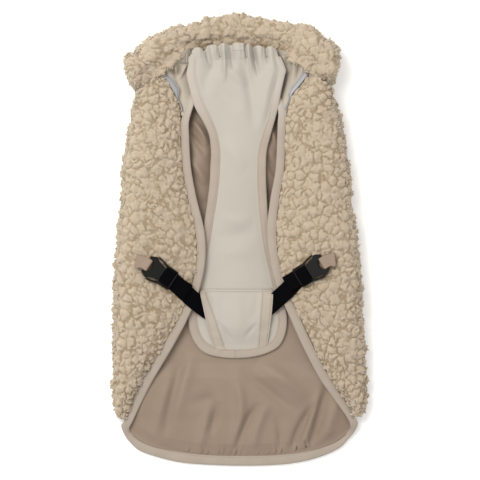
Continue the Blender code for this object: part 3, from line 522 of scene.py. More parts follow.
# The back.
# The back is the same fleece, pile down, so its curls are pressed flat where the coat lies on
# them. It ends at the neck seam under the collar and at the hem's tape.
BACK_SPACING = 2.0
BACK_POINTS = 130
BARE_EDGE = 3
SEAM_LAP = 0.35
HEM_OUT = 2.2
HEM_DOWN = 1.6
HEM_THICK = 5.0
BACK_NECK = (
    # y, left, right
    (209.6, -54.2, 39.6),
    (204.0, -62.4, 51.0),
    (196.0, -72.0, 61.6),
    (186.5, -83.2, 74.4),
)
BACK_HEM = (
    # y, left, right
    (-207.4, -122.2, 122.6),
    (-216.0, -115.2, 113.4),
    (-223.0, -104.2, 102.6),
    (-228.8, -88.0, 87.4),
    (-233.8, -62.6, 66.4),
    (-237.0, -35.2, 40.4),
    (-241.5, -30.0, 34.0),
)


def back_ends():
    """Rows of the back from the neck to the hem: its left end, its right end and its height."""
    left, right = (side_curve(spread(rows, 25), 0.0, 2, 1)[:, 0] for rows in (LEFT_SIDE, RIGHT_SIDE))
    rows = [(a, y, b, y, FLEECE) for y, a, b in BACK_NECK]
    for a, b in zip(left, right):
        thick = min(read_off(SIDE_HEIGHTS, end[1], 3) for end in (a, b))
        rows.append((a[0] + SEAM_LAP, a[1], b[0] - SEAM_LAP, b[1], thick))
    for k, (y, a, b) in enumerate(BACK_HEM):
        rows.append((a - HEM_OUT, y - HEM_DOWN, b + HEM_OUT, y - HEM_DOWN, HEM_THICK - 0.4 * k))
    return rows


def between(rows, share):
    """Plan points at each share of the way from a row's first plan point to its second."""
    share = share[None, :, None]
    return rows[:, None, 0:2] * (1 - share) + rows[:, None, 2:4] * share


def laid_rings(rows, face, level, far_level):
    """Rings of a laid cloth: a fine face at its own level, and a coarse far face."""
    far = between(rows, np.linspace(0.0, 1.0, FAR_POINTS))[:, ::-1]
    far = np.dstack((far, np.repeat(far_level, FAR_POINTS, axis=1)))
    return np.concatenate((np.dstack((face, level)), far), axis=1)


back_rows = even(back_ends(), BACK_SPACING)
below = between(back_rows, np.linspace(0.0, 1.0, BACK_POINTS))
rings = laid_rings(back_rows, below, np.zeros(below.shape[:2]), back_rows[:, 4:5])
back = tube("fleece_back", rings, sherpa)
# No pile along the back's edges, where painted shade darkens its tone.
mask = np.zeros(rings.shape[:2])
mask[:, BARE_EDGE:BACK_POINTS - BARE_EDGE] = 1.0
pile_up(back, mask, 57, curl_height=2.4 * MM, tuft_spacing=5.0 * MM)
settle(back, "curly_fleece", "shell_back")


# The collar.
# The collar is a wide band of the fleece, doubled and rolled, sewn to the neck edge. It lies low
# behind the neck and puffs up where it turns forward over the shoulders.
COLLAR = (
    # inner_x, inner_y, outer_x, outer_y, inner_top, crown
    (-109.6, 164.6, -112.6, 166.0, 20.0, 26.0),
    (-106.6, 167.4, -118.8, 173.0, 32.0, 44.0),
    (-103.0, 170.8, -123.6, 184.0, 33.0, 47.0),
    (-98.4, 174.8, -125.4, 195.6, 33.0, 48.0),
    (-94.0, 178.8, -121.0, 204.6, 33.0, 48.0),
    (-89.4, 182.8, -113.6, 203.2, 33.0, 47.0),
    (-85.0, 186.8, -108.8, 209.2, 32.6, 47.0),
    (-79.4, 191.4, -100.6, 218.4, 32.0, 46.0),
    (-69.0, 200.2, -93.0, 223.4, 28.0, 41.0),
    (-55.4, 211.0, -71.0, 231.6, 20.0, 33.0),
    (-39.0, 212.4, -44.0, 239.4, 13.0, 24.4),
    (-22.0, 212.8, -22.0, 245.0, 11.5, 22.2),
    (0.0, 213.0, 0.0, 247.0, 11.5, 21.8),
    (20.0, 212.8, 22.0, 244.4, 11.5, 22.2),
    (36.0, 212.0, 46.0, 239.2, 13.0, 24.4),
    (48.0, 207.6, 72.0, 235.0, 19.0, 32.0),
    (58.6, 199.8, 87.0, 228.4, 27.0, 40.0),
    (64.0, 195.8, 92.6, 221.0, 30.0, 43.0),
    (67.4, 193.4, 94.0, 215.8, 31.5, 44.0),
    (70.6, 191.2, 99.0, 219.2, 32.0, 46.0),
    (76.0, 187.0, 105.4, 211.4, 32.6, 47.0),
    (82.0, 182.4, 108.2, 199.6, 33.0, 48.0),
    (88.6, 177.4, 107.0, 186.4, 33.0, 47.0),
    (94.2, 173.2, 103.8, 176.8, 32.0, 43.0),
    (98.6, 169.4, 101.2, 171.0, 20.0, 26.0),
)
COLLAR_SECTION = (
    # share across, share of the crown, share of the inner top
    (0.0, 0.0, 0.0), (0.35, 0.0, 0.0), (0.75, 0.0, 0.0), (0.93, 0.1, 0.0), (1.0, 0.28, 0.0),
    (0.975, 0.5, 0.0), (1.0, 0.7, 0.0), (0.92, 0.9, 0.0), (0.72, 1.0, 0.0), (0.45, 0.985, 0.0),
    (0.14, 0.5, 0.5), (-0.1, 0.2, 0.85), (0.0, 0.0, 0.66), (0.0, 0.0, 0.33),
)
COLLAR_POINTS = 110
NECK_MIDDLE = -5.0
NECK_HALF = 52.0
FULL_PILE_UP = 7.0
SEAM_PILE = 0.3
SEAM_PILE_OVER = 11.0


def round_off(section, count):
    """`count` points of the smooth closed curve through a section's points, for every ring."""
    closed = np.concatenate((section[:, -2:], section, section[:, :3]), axis=1)
    flat = closed.transpose(1, 0, 2).reshape(closed.shape[1], -1)
    inside = spread(flat, (len(flat) - 1) * 12 + 1)[24:-24]
    step = np.linalg.norm(np.diff(inside.reshape(len(inside), -1, 3), axis=0), axis=2).mean(axis=1)
    along = np.concatenate(([0.0], np.cumsum(step)))
    places = np.linspace(0.0, along[-1], count, endpoint=False)
    found = np.stack([np.interp(places, along, column) for column in inside.T], axis=1)
    return found.reshape(count, -1, 3).transpose(1, 0, 2)


collar_rows = even(COLLAR, CURL_SPACING, (2, 3))
share, crown, inner_top = np.array(COLLAR_SECTION).T
levels = collar_rows[:, 5:6] * crown + collar_rows[:, 4:5] * inner_top
rings = round_off(np.dstack((between(collar_rows, share), levels)), COLLAR_POINTS)
rings[..., 2] = np.maximum(rings[..., 2], 0.0)
collar = tube("rolled_collar", rings, sherpa)
mask = np.clip(rings[..., 2] / FULL_PILE_UP, 0.0, 1.0)
# Toward the neck the pile thins at the seam, and painted shade darkens it there under the casing.
toward_neck = np.abs(rings[..., 0] - NECK_MIDDLE) < NECK_HALF
from_seam = np.hypot(rings[..., 0] - collar_rows[:, None, 0], rings[..., 1] - collar_rows[:, None, 1])
mask *= np.where(toward_neck, np.clip(SEAM_PILE + from_seam / SEAM_PILE_OVER, 0.0, 1.0), 1.0)
pile_up(collar, mask, 83, curl_scale=90.0, curl_height=2.8 * MM, crease_tone=0.4, fine_height=1.1 * MM,
        swell=8.0 * MM)
settle(collar, "curly_fleece", "collar")


# The lining.
# A taupe nylon lining is sewn inside the fleece and gathered by the hem's elastic, so soft folds
# run up from the hem and small puckers stand along it.
LINING_LEVEL = 1.6
LINING_SPACING = 1.5
LINING_POINTS = 150
NYLON_NEAR = 0.6
EASE = 3.4
EASE_RUN = 16.0
SIDE_GAP = 6.0
SIDE_FADE = 14.0
PANEL_START = -20.0
PANEL_END = -136.0
PANEL_HALF = 44.0
BELOW_PANEL = 1.6
HEM_SEAM = -238.8
HEM_BOW = 9.0
HEM_HALF = 87.0
HEM_FADE = 14.0
PUCKER_RISE = 0.7
PUCKER_RIDGE = 1.5
PUCKER_CREASE = 1.9
PUCKER_REACH = 9.0
LINING_FOLDS = (
    # x0, y0, x1, y1, x2, y2, width, rise
    (-60.0, -126.0, -75.0, -168.0, -84.0, -222.0, 6.5, -4.6),
    (-70.0, -140.0, -86.0, -180.0, -94.0, -222.0, 6.0, 3.4),
    (-52.0, -124.0, -62.0, -160.0, -76.0, -206.0, 8.0, 4.4),
    (-54.0, -186.0, -38.0, -168.0, -22.0, -182.0, 6.5, -2.4),
    (-24.0, -178.0, -26.0, -196.0, -34.0, -216.0, 4.4, -3.6),
    (-34.0, -184.0, -38.0, -208.0, -46.0, -238.0, 5.0, 4.0),
    (-6.0, -150.0, 12.0, -186.0, -12.0, -242.0, 5.5, 4.6),
    (22.0, -180.0, 2.0, -204.0, -6.0, -240.0, 3.8, -5.0),
    (34.0, -180.0, 16.0, -206.0, 14.0, -240.0, 5.0, 3.6),
    (0.0, -142.0, 32.0, -168.0, 66.0, -192.0, 5.5, -3.6),
    (20.0, -136.0, 44.0, -148.0, 74.0, -176.0, 8.0, 4.6),
    (40.0, -196.0, 48.0, -214.0, 44.0, -240.0, 4.0, -3.0),
    (84.0, -180.0, 64.0, -208.0, 55.0, -242.0, 4.2, -6.0),
    (90.0, -164.0, 78.0, -202.0, 66.0, -240.0, 4.4, 4.8),
    (98.0, -154.0, 90.0, -196.0, 74.0, -238.0, 4.8, -6.0),
    (108.0, -176.0, 100.0, -204.0, 92.0, -226.0, 5.0, 3.4),
    (-47.0, 150.0, -44.0, 100.0, -42.0, 40.0, 14.0, 9.0),
    (36.0, 140.0, 34.0, 100.0, 32.0, 50.0, 14.0, 8.0),
    (-54.0, 132.0, -42.0, 122.0, -34.0, 104.0, 3.2, 5.0),
    (-56.0, 118.0, -46.0, 108.0, -38.0, 92.0, 3.5, -4.0),
    (-56.0, 88.0, -46.0, 80.0, -38.0, 60.0, 4.5, 4.0),
    (34.0, 128.0, 38.0, 112.0, 44.0, 98.0, 3.5, 4.0),
    (26.0, 96.0, 34.0, 84.0, 42.0, 66.0, 4.5, -3.5),
)
PUCKERS = (
    -56.0, -41.0, -34.0, -22.5, -18.0, -9.0, -4.0, 1.5, 10.5, 21.5, 32.5, 41.0, 46.5, 58.0, 63.0, 74.5,
    79.0,
)


def wrap(piece, u, v):
    """Give a piece a UV map from two values, in millimetres, for each of its points."""
    mesh = piece.data
    corner = np.zeros(len(mesh.loops), np.int32)
    mesh.loops.foreach_get("vertex_index", corner)
    layer = mesh.uv_layers.new(name="cloth")
    flat = np.stack((np.ravel(u)[corner], np.ravel(v)[corner]), axis=1) * MM
    layer.data.foreach_set("uv", flat.ravel().astype(np.float32))


def girth(rings, axis=1):
    """Distance run from the first point to each point of the rings, along one of their axes."""
    first = np.take(rings, [0], axis=axis)
    return np.cumsum(np.linalg.norm(np.diff(rings, axis=axis, prepend=first), axis=2), axis=axis)


def folds_at(x, y, folds):
    """Rise of a cloth at plan points, from folds that each follow a bent line and fade at its ends."""
    total = np.zeros_like(x)
    for x0, y0, x1, y1, x2, y2, width, rise in folds:
        t = np.linspace(0.0, 1.0, 15)[:, None]
        start, bend, end = np.array((x0, y0)), np.array((x1, y1)), np.array((x2, y2))
        line = (1 - t) ** 2 * start + 2 * t * (1 - t) * bend + t ** 2 * end
        best = np.full(x.shape, 1e9)
        fade = np.zeros_like(x)
        for k, (a, b) in enumerate(zip(line, line[1:])):
            run = b - a
            share = np.clip(((x - a[0]) * run[0] + (y - a[1]) * run[1]) / (run @ run), 0.0, 1.0)
            gap = np.hypot(x - a[0] - share * run[0], y - a[1] - share * run[1])
            nearer = gap < best
            best = np.where(nearer, gap, best)
            fade = np.where(nearer, np.sin(math.pi * (k + share) / (len(line) - 1)) ** 0.9, fade)
        total += rise * fade * np.exp(-(best / width) ** 2)
    return total


def woven(name, code, worn, thread, relief, roughness, specular=0.3, sheen=0.0, mottle=30.0, painted_light=None):
    """A plain weave on a piece's cloth UV map, with faint uneven tone and, if asked, painted light: a paler
    stretch.
    """
    finish, tree, shader = surface(name, code, roughness, specular, sheen)
    uv = add(tree, "ShaderNodeUVMap", uv_map="cloth").outputs[0]
    pick = {"Vector": uv, "Scale": math.pi / 10.0 / (thread * MM), "Distortion": 0.0}
    warp, weft = (add(tree, "ShaderNodeTexWave", pick, bands_direction=way).outputs["Fac"] for way in "XY")
    cross = add(tree, "ShaderNodeMath", {0: warp, 1: weft}, operation="MAXIMUM").outputs[0]
    bump = add(tree, "ShaderNodeBump", {"Height": cross, "Strength": 0.5, "Distance": relief * MM})
    place = add(tree, "ShaderNodeTexCoord").outputs["Object"]
    cloud = add(tree, "ShaderNodeTexNoise", {"Vector": place, "Scale": mottle, "Detail": 4.0}).outputs["Fac"]
    tones = {"Factor": cloud, "A": linear(code), "B": linear(worn)}
    tone = add(tree, "ShaderNodeMix", tones, data_type="RGBA")
    # Painted light: a paler colour mixed in by the piece's share of it.
    if painted_light:
        share = add(tree, "ShaderNodeAttribute", attribute_name="painted_light").outputs["Fac"]
        tones = {"Factor": share, "A": tone.outputs["Result"], "B": linear(painted_light)}
        tone = add(tree, "ShaderNodeMix", tones, data_type="RGBA")
    tree.links.new(tone.outputs["Result"], shader.inputs["Base Color"])
    tree.links.new(bump.outputs["Normal"], shader.inputs["Normal"])
    return finish


# Plain-woven nylon taffeta: smooth with a soft sheen on its folds, and threads so fine that the
# weave is drawn at 0.5 mm, just coarse enough to be seen close up.
nylon = woven("nylon_taffeta", "95816F", "85715F", 0.5, 0.12, 0.55, 0.4, 0.15)

lining_rows = even(back_ends(), LINING_SPACING)
top = between(lining_rows, np.linspace(0.0, 1.0, LINING_POINTS))
x, y = top[..., 0], top[..., 1]
from_middle = np.abs(x)
half_width = np.abs(lining_rows[:, None, 2] - lining_rows[:, None, 0]) / 2
middle = np.clip((half_width - SIDE_GAP - from_middle) / SIDE_FADE, 0.0, 1.0)
rise = EASE * np.clip((PANEL_END - y) / EASE_RUN, 0.0, 1.0) + folds_at(x, y, LINING_FOLDS)
room_below_panel = BELOW_PANEL + np.clip((from_middle - PANEL_HALF) / 4.0, 0, 8)
rise = np.where((y > PANEL_END) & (y < PANEL_START), np.minimum(rise, room_below_panel), rise)
above_hem = y - HEM_SEAM - HEM_BOW * (from_middle / HEM_HALF) ** 2.6
rise *= np.clip((above_hem + 1.0) / HEM_FADE, 0.0, 1.0)
for spot in PUCKERS:
    # Each pucker leans, ends and stands a little differently: the sines only tell them apart.
    off = x - spot - above_hem * 0.3 * math.sin(spot)
    fade = np.exp(-(above_hem / (PUCKER_REACH + 6.0 * math.sin(1.7 * spot))) ** 2)
    ridge = PUCKER_RIDGE * np.exp(-((off + 1.6) / 1.4) ** 2)
    crease = PUCKER_CREASE * np.exp(-(off / 0.8) ** 2)
    stands = (PUCKER_RISE + 0.4 * math.sin(2.9 * spot)) * np.clip(above_hem / 1.6, 0.0, 1.0)
    rise += stands * (ridge - crease) * fade
level = lining_rows[:, 4:5] + LINING_LEVEL + np.maximum(rise, -0.2) * middle
rings = laid_rings(lining_rows, top, level, lining_rows[:, 4:5] + NYLON_NEAR)
lining = tube("nylon_back", rings, nylon)
wrap(lining, rings[..., 0], rings[..., 1])
settle(lining, "taupe_nylon", "lining_back")
for side, table_rows in (("left", LEFT_SIDE), ("right", RIGHT_SIDE)):
    rows = even(table_rows, 4.0, (2, 3))
    near, far = (side_curve(rows, FLEECE + depth, 24, 16) for depth in (NYLON_NEAR, NYLON_FAR))
    rings = np.concatenate((near, far[:, ::-1]), axis=1)
    piece = tube("nylon_" + side, rings, nylon)
    wrap(piece, girth(rings), rings[..., 1])
    settle(piece, "taupe_nylon", "lining_" + side)


# The tape round the edges.
# One folded beige tape binds the left side's edge, the hem and the right side's edge. It is sewn
# down near its inner edge, and the hem's stretch has elastic inside.
HEM_TAPE = (
    # inner_x, inner_y, outer_x, outer_y, top
    (-118.6, -202.0, -127.4, -200.4, 13.2),
    (-121.8, -208.6, -130.6, -205.6, 12.0),
    (-119.6, -214.0, -127.4, -215.6, 7.6),
    (-112.6, -219.0, -121.4, -224.0, 6.0),
    (-103.8, -224.0, -110.8, -233.4, 5.6),
    (-86.6, -229.8, -90.6, -240.6, 5.4),
    (-62.8, -234.8, -66.0, -246.4, 5.2),
    (-35.2, -238.0, -37.2, -249.0, 5.2),
    (2.0, -238.8, 2.0, -250.2, 5.2),
    (40.4, -238.0, 42.0, -249.2, 5.2),
    (66.6, -234.8, 70.6, -245.4, 5.2),
    (86.6, -229.8, 94.0, -238.6, 5.4),
    (102.2, -224.0, 111.0, -230.2, 5.6),
    (111.6, -218.6, 119.2, -222.0, 6.0),
    (119.4, -212.4, 126.8, -213.0, 7.6),
    (122.6, -206.0, 130.6, -203.4, 12.0),
    (119.6, -198.2, 128.2, -196.4, 13.2),
)
TAPE_SECTION = (
    # share across, share of the thickness
    (0.0, 0.3), (0.1, 0.05), (0.5, 0.0), (0.88, 0.05), (1.0, 0.35), (1.0, 0.68), (0.88, 0.96), (0.5, 1.0),
    (0.12, 0.96), (0.0, 0.7),
)
TAPE_THICK = 5.0
TAPE_POINTS = 30
RIPPLE = 0.42
STITCH_IN = 0.2
STITCH_SINK = 0.5
STITCH_GROOVE = 0.09
STITCH_PITCH = 3.1
TAPE_STARTS = {
    # free_x, free_y, sewn_x, sewn_y, height: each end of the tape goes up under the panel's edge
    "left": ((-46.0, 166.0, -52.0, 167.0, 24.6), (-46.6, 158.0, -54.4, 158.0, 25.4),
             (-49.4, 150.0, -57.4, 149.4, 27.6)),
    "right": ((36.0, 162.0, 41.0, 163.0, 24.6), (38.2, 154.0, 45.4, 155.0, 25.4),
              (41.2, 147.0, 50.2, 148.0, 27.4)),
}
START_BELOW = {"left": 140.0, "right": 139.5}
# Painted light: from here toward the neck the tape is drawn paler.
PAINTED_LIGHT_FROM = 112.0
PAINTED_LIGHT_OVER = 50.0
PANEL_JOIN = -3.8
JOIN_BELOW = -110.0
JOIN_WIDTH = 0.8


def edge_rows(side, table_rows):
    """The tape's stretch on a side's edge: free edge, sewn edge, height and which edge is sewn."""
    rows = [(*row, 1.0 - STITCH_IN) for row in TAPE_STARTS[side]]
    for fold_x, fold_y, edge_x, edge_y, width in table_rows:
        if edge_y <= START_BELOW[side]:
            fold, edge = np.array((fold_x, fold_y)), np.array((edge_x, edge_y))
            sewn = edge - (edge - fold) / np.linalg.norm(edge - fold) * width
            rows.append((*edge, *sewn, read_off(SIDE_HEIGHTS, edge_y, 2), 1.0 - STITCH_IN))
    return rows


def tape(name, rows, thick, finish, spacing=1.3, join=None):
    """A folded tape along rows of two plan edges, a height and the share where it is sewn."""
    rows = even(rows, spacing)
    share, up = np.array(TAPE_SECTION).T
    start, end, height, seam = rows[:, 0:2], rows[:, 2:4], rows[:, 4:5], rows[:, 5:6]
    body = np.minimum(thick, height)
    rings = round_off(np.dstack((between(rows, share), height - body * (1.0 - up))), TAPE_POINTS)
    run = np.arange(len(rows))[:, None] * spacing
    upper = np.clip((rings[..., 2] - height + body / 2) / (body / 2), 0.0, 1.0)
    width = np.linalg.norm(end - start, axis=1)[:, None]
    off_seam = np.linalg.norm(rings[..., :2] - start[:, None], axis=2) / width - seam
    rings[..., 2] += upper * RIPPLE * np.sin(run / 5.3 + 2.0 * np.sin(run / 23.0)) * np.abs(off_seam)
    rings[..., 2] -= upper * STITCH_SINK * np.exp(-(off_seam / STITCH_GROOVE) ** 2)
    if join is not None:
        dip = np.exp(-((rings[..., 0] - join) / JOIN_WIDTH) ** 2)
        rings[..., 2] -= np.where(rings[..., 1] < JOIN_BELOW, dip, 0.0)
    rings[..., 2] = np.maximum(rings[..., 2], 0.05)
    piece = tube(name, rings, finish)
    wrap(piece, girth(rings), np.repeat(run, rings.shape[1], axis=1))
    # Painted light: the tape's share of the paler colour grows toward the neck.
    toward_neck = np.clip((np.ravel(rings[..., 1]) - PAINTED_LIGHT_FROM) / PAINTED_LIGHT_OVER, 0.0, 1.0)
    painted_light = piece.data.attributes.new("painted_light", "FLOAT", "POINT")
    painted_light.data.foreach_set("value", toward_neck.astype(np.float32))
    return piece, np.column_stack((start * (1 - seam) + end * seam, height - STITCH_SINK))


def stitch_tree():
    """Geometry nodes that lay one stitch after another along a line."""
    tree, start = open_tree("stitches", "Line", ("Pitch", "Length", "Thickness"), "Stitches")
    line = add(tree, "GeometryNodeMeshToCurve", {"Mesh": start["Line"]}).outputs[0]
    spots = add(tree, "GeometryNodeCurveToPoints", {"Curve": line, "Length": start["Pitch"]}, mode="LENGTH")
    stitch = add(tree, "GeometryNodeMeshUVSphere", {"Segments": 8, "Rings": 5, "Radius": 0.5}).outputs[0]
    turn = add(tree, "FunctionNodeAlignRotationToVector", {"Vector": spots.outputs["Tangent"]}, axis="X")
    sides = (start["Length"], start["Thickness"], start["Thickness"])
    laid = scatter(tree, start["Seed"], spots.outputs[0], stitch, turn.outputs[0], sides, 0.85, 1.1)
    return close_tree(tree, laid, start["Finish"])


def sew(name, lines, finish, pitch=STITCH_PITCH, length=2.3, thickness=0.55, seed=5):
    """A piece that holds the stitches along one or more lines of points in millimetres."""
    points, edges = [], []
    for line in lines:
        first = len(points)
        points += (np.asarray(line, float) * MM).tolist()
        edges += [(k, k + 1) for k in range(first, len(points) - 1)]
    mesh = bpy.data.meshes.new(name)
    mesh.from_pydata(points, edges, [])
    piece = in_scene(name, mesh)
    grow(piece, stitches, pitch=pitch * MM, length=length * MM, thickness=thickness * MM, seed=seed,
         finish=finish)
    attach(piece, "root")
    return piece


# Polyester sewing thread, matched to the tape: matt and only a little lighter than the cloth.
thread, _, _ = surface("polyester_thread", "9C8D7E", 0.7, 0.3)
stitches = stitch_tree()
# Cotton-touch binding tape in a fine plain weave: matt, a little pinker than the panel, and drawn
# paler toward the neck as painted light.
binding = woven("woven_binding_tape", "AEA194", "A29485", 0.6, 0.15, 0.9, 0.2, 0.1, 60.0, "B7AEA2")
hem = [(*row, STITCH_IN) for row in HEM_TAPE]
route = edge_rows("left", LEFT_SIDE) + hem[1:-1] + edge_rows("right", RIGHT_SIDE)[::-1]
edging, sewn = tape("edge_tape", route, TAPE_THICK, binding)
settle(edging, "beige_tape", "binding_left", "binding_hem", "binding_right")
edge_thread = sew("edge_stitches", [sewn], thread)


# The belly panel.
# A cream softshell panel closes the chest and belly between the sides. Its edge is bound in the
# beige tape, and it is gathered into the elastic at the neck.
PANEL = (
    # y, left, right, edge_height, middle_height
    (201.0, -53.6, 42.4, 31.0, 31.4),
    (193.0, -53.6, 46.4, 30.6, 31.2),
    (187.0, -50.6, 47.6, 30.4, 31.2),
    (179.0, -50.0, 44.4, 30.2, 31.4),
    (163.0, -44.8, 38.0, 29.2, 31.0),
    (148.0, -37.0, 34.0, 28.0, 30.0),
    (134.0, -30.6, 30.0, 26.4, 28.6),
    (117.0, -23.8, 24.4, 25.0, 27.2),
    (98.0, -20.6, 19.4, 23.6, 26.0),
    (81.0, -20.8, 18.2, 22.4, 24.8),
    (62.0, -22.0, 18.2, 21.0, 23.4),
    (40.0, -24.8, 19.4, 19.4, 22.0),
    (18.0, -28.4, 21.6, 17.6, 20.6),
    (-2.0, -31.4, 24.0, 16.0, 19.6),
    (-22.0, -35.2, 28.0, 15.4, 19.2),
    (-44.0, -39.6, 33.2, 15.2, 19.2),
    (-66.0, -43.6, 38.0, 15.0, 19.0),
    (-86.0, -45.8, 41.2, 14.6, 18.2),
    (-100.0, -43.4, 40.0, 14.2, 17.0),
    (-110.0, -37.8, 35.0, 13.8, 15.6),
    (-115.6, -32.0, 28.5, 13.6, 14.4),
    (-119.6, -25.0, 20.5, 13.2, 13.6),
    (-123.4, -14.0, 9.0, 12.8, 12.8),
)
PANEL_TAPE_ROUTE = (
    # inner_x, inner_y, outer_x, outer_y
    (-47.6, 203.0, -53.6, 203.2),
    (-47.4, 196.0, -54.8, 196.4),
    (-47.6, 187.0, -57.2, 187.6),
    (-47.4, 180.0, -58.0, 179.2),
    (-43.0, 163.0, -53.6, 161.0),
    (-37.6, 148.0, -48.6, 144.4),
    (-31.2, 134.0, -40.4, 130.0),
    (-24.4, 117.0, -33.6, 115.0),
    (-21.2, 98.0, -31.4, 97.6),
    (-21.4, 81.0, -32.0, 81.0),
    (-22.6, 62.0, -33.0, 61.4),
    (-25.4, 40.0, -35.8, 39.0),
    (-29.0, 18.0, -39.2, 17.0),
    (-32.0, -2.0, -42.2, -3.0),
    (-35.8, -22.0, -46.0, -23.0),
    (-40.2, -44.0, -50.4, -45.0),
    (-44.2, -66.0, -54.6, -66.6),
    (-46.6, -86.0, -56.8, -86.4),
    (-44.0, -100.8, -54.0, -103.6),
    (-38.2, -111.0, -46.8, -117.6),
    (-29.8, -116.8, -36.4, -126.0),
    (-18.4, -119.8, -21.6, -129.8),
    (-4.0, -120.4, -4.6, -131.0),
    (12.8, -119.8, 15.0, -129.4),
    (26.0, -116.8, 30.4, -125.2),
    (35.4, -111.0, 43.4, -117.6),
    (40.6, -100.8, 50.6, -103.6),
    (42.0, -86.0, 52.4, -86.4),
    (38.8, -66.0, 49.0, -66.6),
    (34.0, -44.0, 44.2, -45.0),
    (28.8, -22.0, 39.0, -23.0),
    (24.8, -2.0, 35.0, -3.0),
    (22.4, 18.0, 32.4, 17.0),
    (20.2, 40.0, 30.6, 39.6),
    (19.0, 62.0, 29.4, 62.0),
    (19.0, 81.0, 29.2, 81.0),
    (20.2, 98.0, 30.2, 98.4),
    (25.2, 117.0, 35.4, 118.6),
    (30.8, 134.0, 40.0, 135.0),
    (33.2, 148.0, 43.2, 148.6),
    (35.8, 163.0, 46.0, 163.6),
    (39.4, 178.0, 49.6, 179.6),
    (40.4, 186.0, 50.8, 187.0),
    (37.4, 196.0, 44.6, 197.4),
    (35.8, 203.0, 41.6, 203.2),
)
PANEL_THICK = 1.8
PANEL_TAPE_THICK = 3.6
UNDER_TAPE = 2.2
TUCK_FROM = 198.4
TUCK = 1.2
PANEL_FOLDS = (
    # x0, y0, x1, y1, x2, y2, width, rise
    (2.0, 200.0, 13.0, 176.0, 16.0, 120.0, 6.0, -4.0),
    (35.0, 206.0, 37.0, 176.0, 28.0, 116.0, 9.0, 3.5),
    (-22.0, 196.0, -8.0, 184.0, 8.0, 168.0, 6.0, 3.2),
    (-16.0, 204.0, -34.0, 190.0, -40.0, 158.0, 7.0, -3.6),
    (-34.0, 174.0, -16.0, 160.0, 0.0, 140.0, 8.0, -2.6),
    (-22.0, 26.0, -4.0, 17.0, 14.0, 22.0, 6.0, 2.0),
    (-28.0, 6.0, -6.0, 2.0, 18.0, 9.0, 6.5, -1.8),
    (-18.0, 112.0, -6.0, 92.0, 8.0, 78.0, 8.0, 1.8),
    (-24.0, -20.0, -4.0, -8.0, 18.0, -16.0, 7.0, 1.4),
)
RUFFLE_FOLDS = (
    # x0, y0, x1, y1, x2, y2, width, rise
    (-47.0, 232.0, -46.0, 208.0, -40.0, 188.0, 3.8, 3.2),
    (-39.4, 230.0, -38.8, 210.0, -33.0, 192.0, 1.6, -4.6),
    (-31.0, 234.0, -32.0, 210.0, -28.0, 184.0, 4.4, -4.8),
    (-26.6, 228.0, -28.0, 212.0, -24.0, 198.0, 1.3, 2.6),
    (-24.0, 230.0, -22.0, 210.0, -20.6, 194.0, 1.2, -3.6),
    (-20.6, 236.0, -15.0, 206.0, -17.0, 172.0, 2.5, 6.4),
    (-13.0, 230.0, -8.0, 206.0, -7.0, 184.0, 3.0, -5.0),
    (-4.4, 230.0, -1.0, 212.0, 1.0, 198.0, 2.4, 1.6),
    (4.8, 232.0, 5.6, 210.0, 10.0, 188.0, 1.3, -4.6),
    (8.6, 234.0, 8.6, 208.0, 14.0, 178.0, 2.2, 5.0),
    (12.0, 232.0, 15.6, 206.0, 21.0, 176.0, 2.2, -7.0),
    (20.0, 230.0, 22.4, 208.0, 24.0, 186.0, 3.4, 2.6),
    (27.0, 232.0, 28.0, 208.0, 32.0, 190.0, 1.5, -4.0),
    (33.4, 234.0, 34.4, 208.0, 38.0, 186.0, 3.4, 3.0),
)


def panel_level(x, y, folds=PANEL_FOLDS + RUFFLE_FOLDS):
    """Height of the belly panel's upper face: bowed in its middle, with its folds."""
    left, right, edge, middle = (read_off(PANEL, y, column) for column in (1, 2, 3, 4))
    bow = np.clip(1.0 - ((x - (left + right) / 2.0) / ((right - left) / 2.0)) ** 2, 0.0, 1.0)
    return edge + (middle - edge) * bow + folds_at(x, y, folds) * np.clip(bow * 3.0, 0.0, 1.0)


# Cream softshell: a knitted face with a slight stretch, matt with a soft grain and no shine.
softshell = woven("cream_softshell_cloth", "B7B0A5", "AFA89B", 0.7, 0.1, 0.85, 0.25, 0.15, 25.0)
rows = spread(PANEL, 210)
places = np.linspace(0.0, 1.0, 126)[None, :]
x = (rows[:, 1:2] - UNDER_TAPE) * (1 - places) + (rows[:, 2:3] + UNDER_TAPE) * places
y = np.repeat(rows[:, 0:1], x.shape[1], axis=1)
upper = np.dstack((x, y, panel_level(x, y) - TUCK * np.clip((y - TUCK_FROM) / TUCK, 0.0, 1.0)))
lower = upper[:, ::-1][:, ::5] - (0.0, 0.0, PANEL_THICK)
rings = np.concatenate((upper, lower), axis=1)
panel = tube("softshell_panel", rings, softshell)
wrap(panel, rings[..., 0], rings[..., 1])
settle(panel, "cream_softshell", "belly_panel")
lift = (PANEL_TAPE_THICK - PANEL_THICK) / 2
route = [(*row, read_off(PANEL, row[1], 3) + lift, STITCH_IN) for row in PANEL_TAPE_ROUTE]
panel_edging, sewn = tape("panel_tape", route, PANEL_TAPE_THICK, binding, 0.9, PANEL_JOIN)
settle(panel_edging, "beige_tape", "belly_binding")
panel_thread = sew("panel_stitches", [sewn], thread, seed=9)


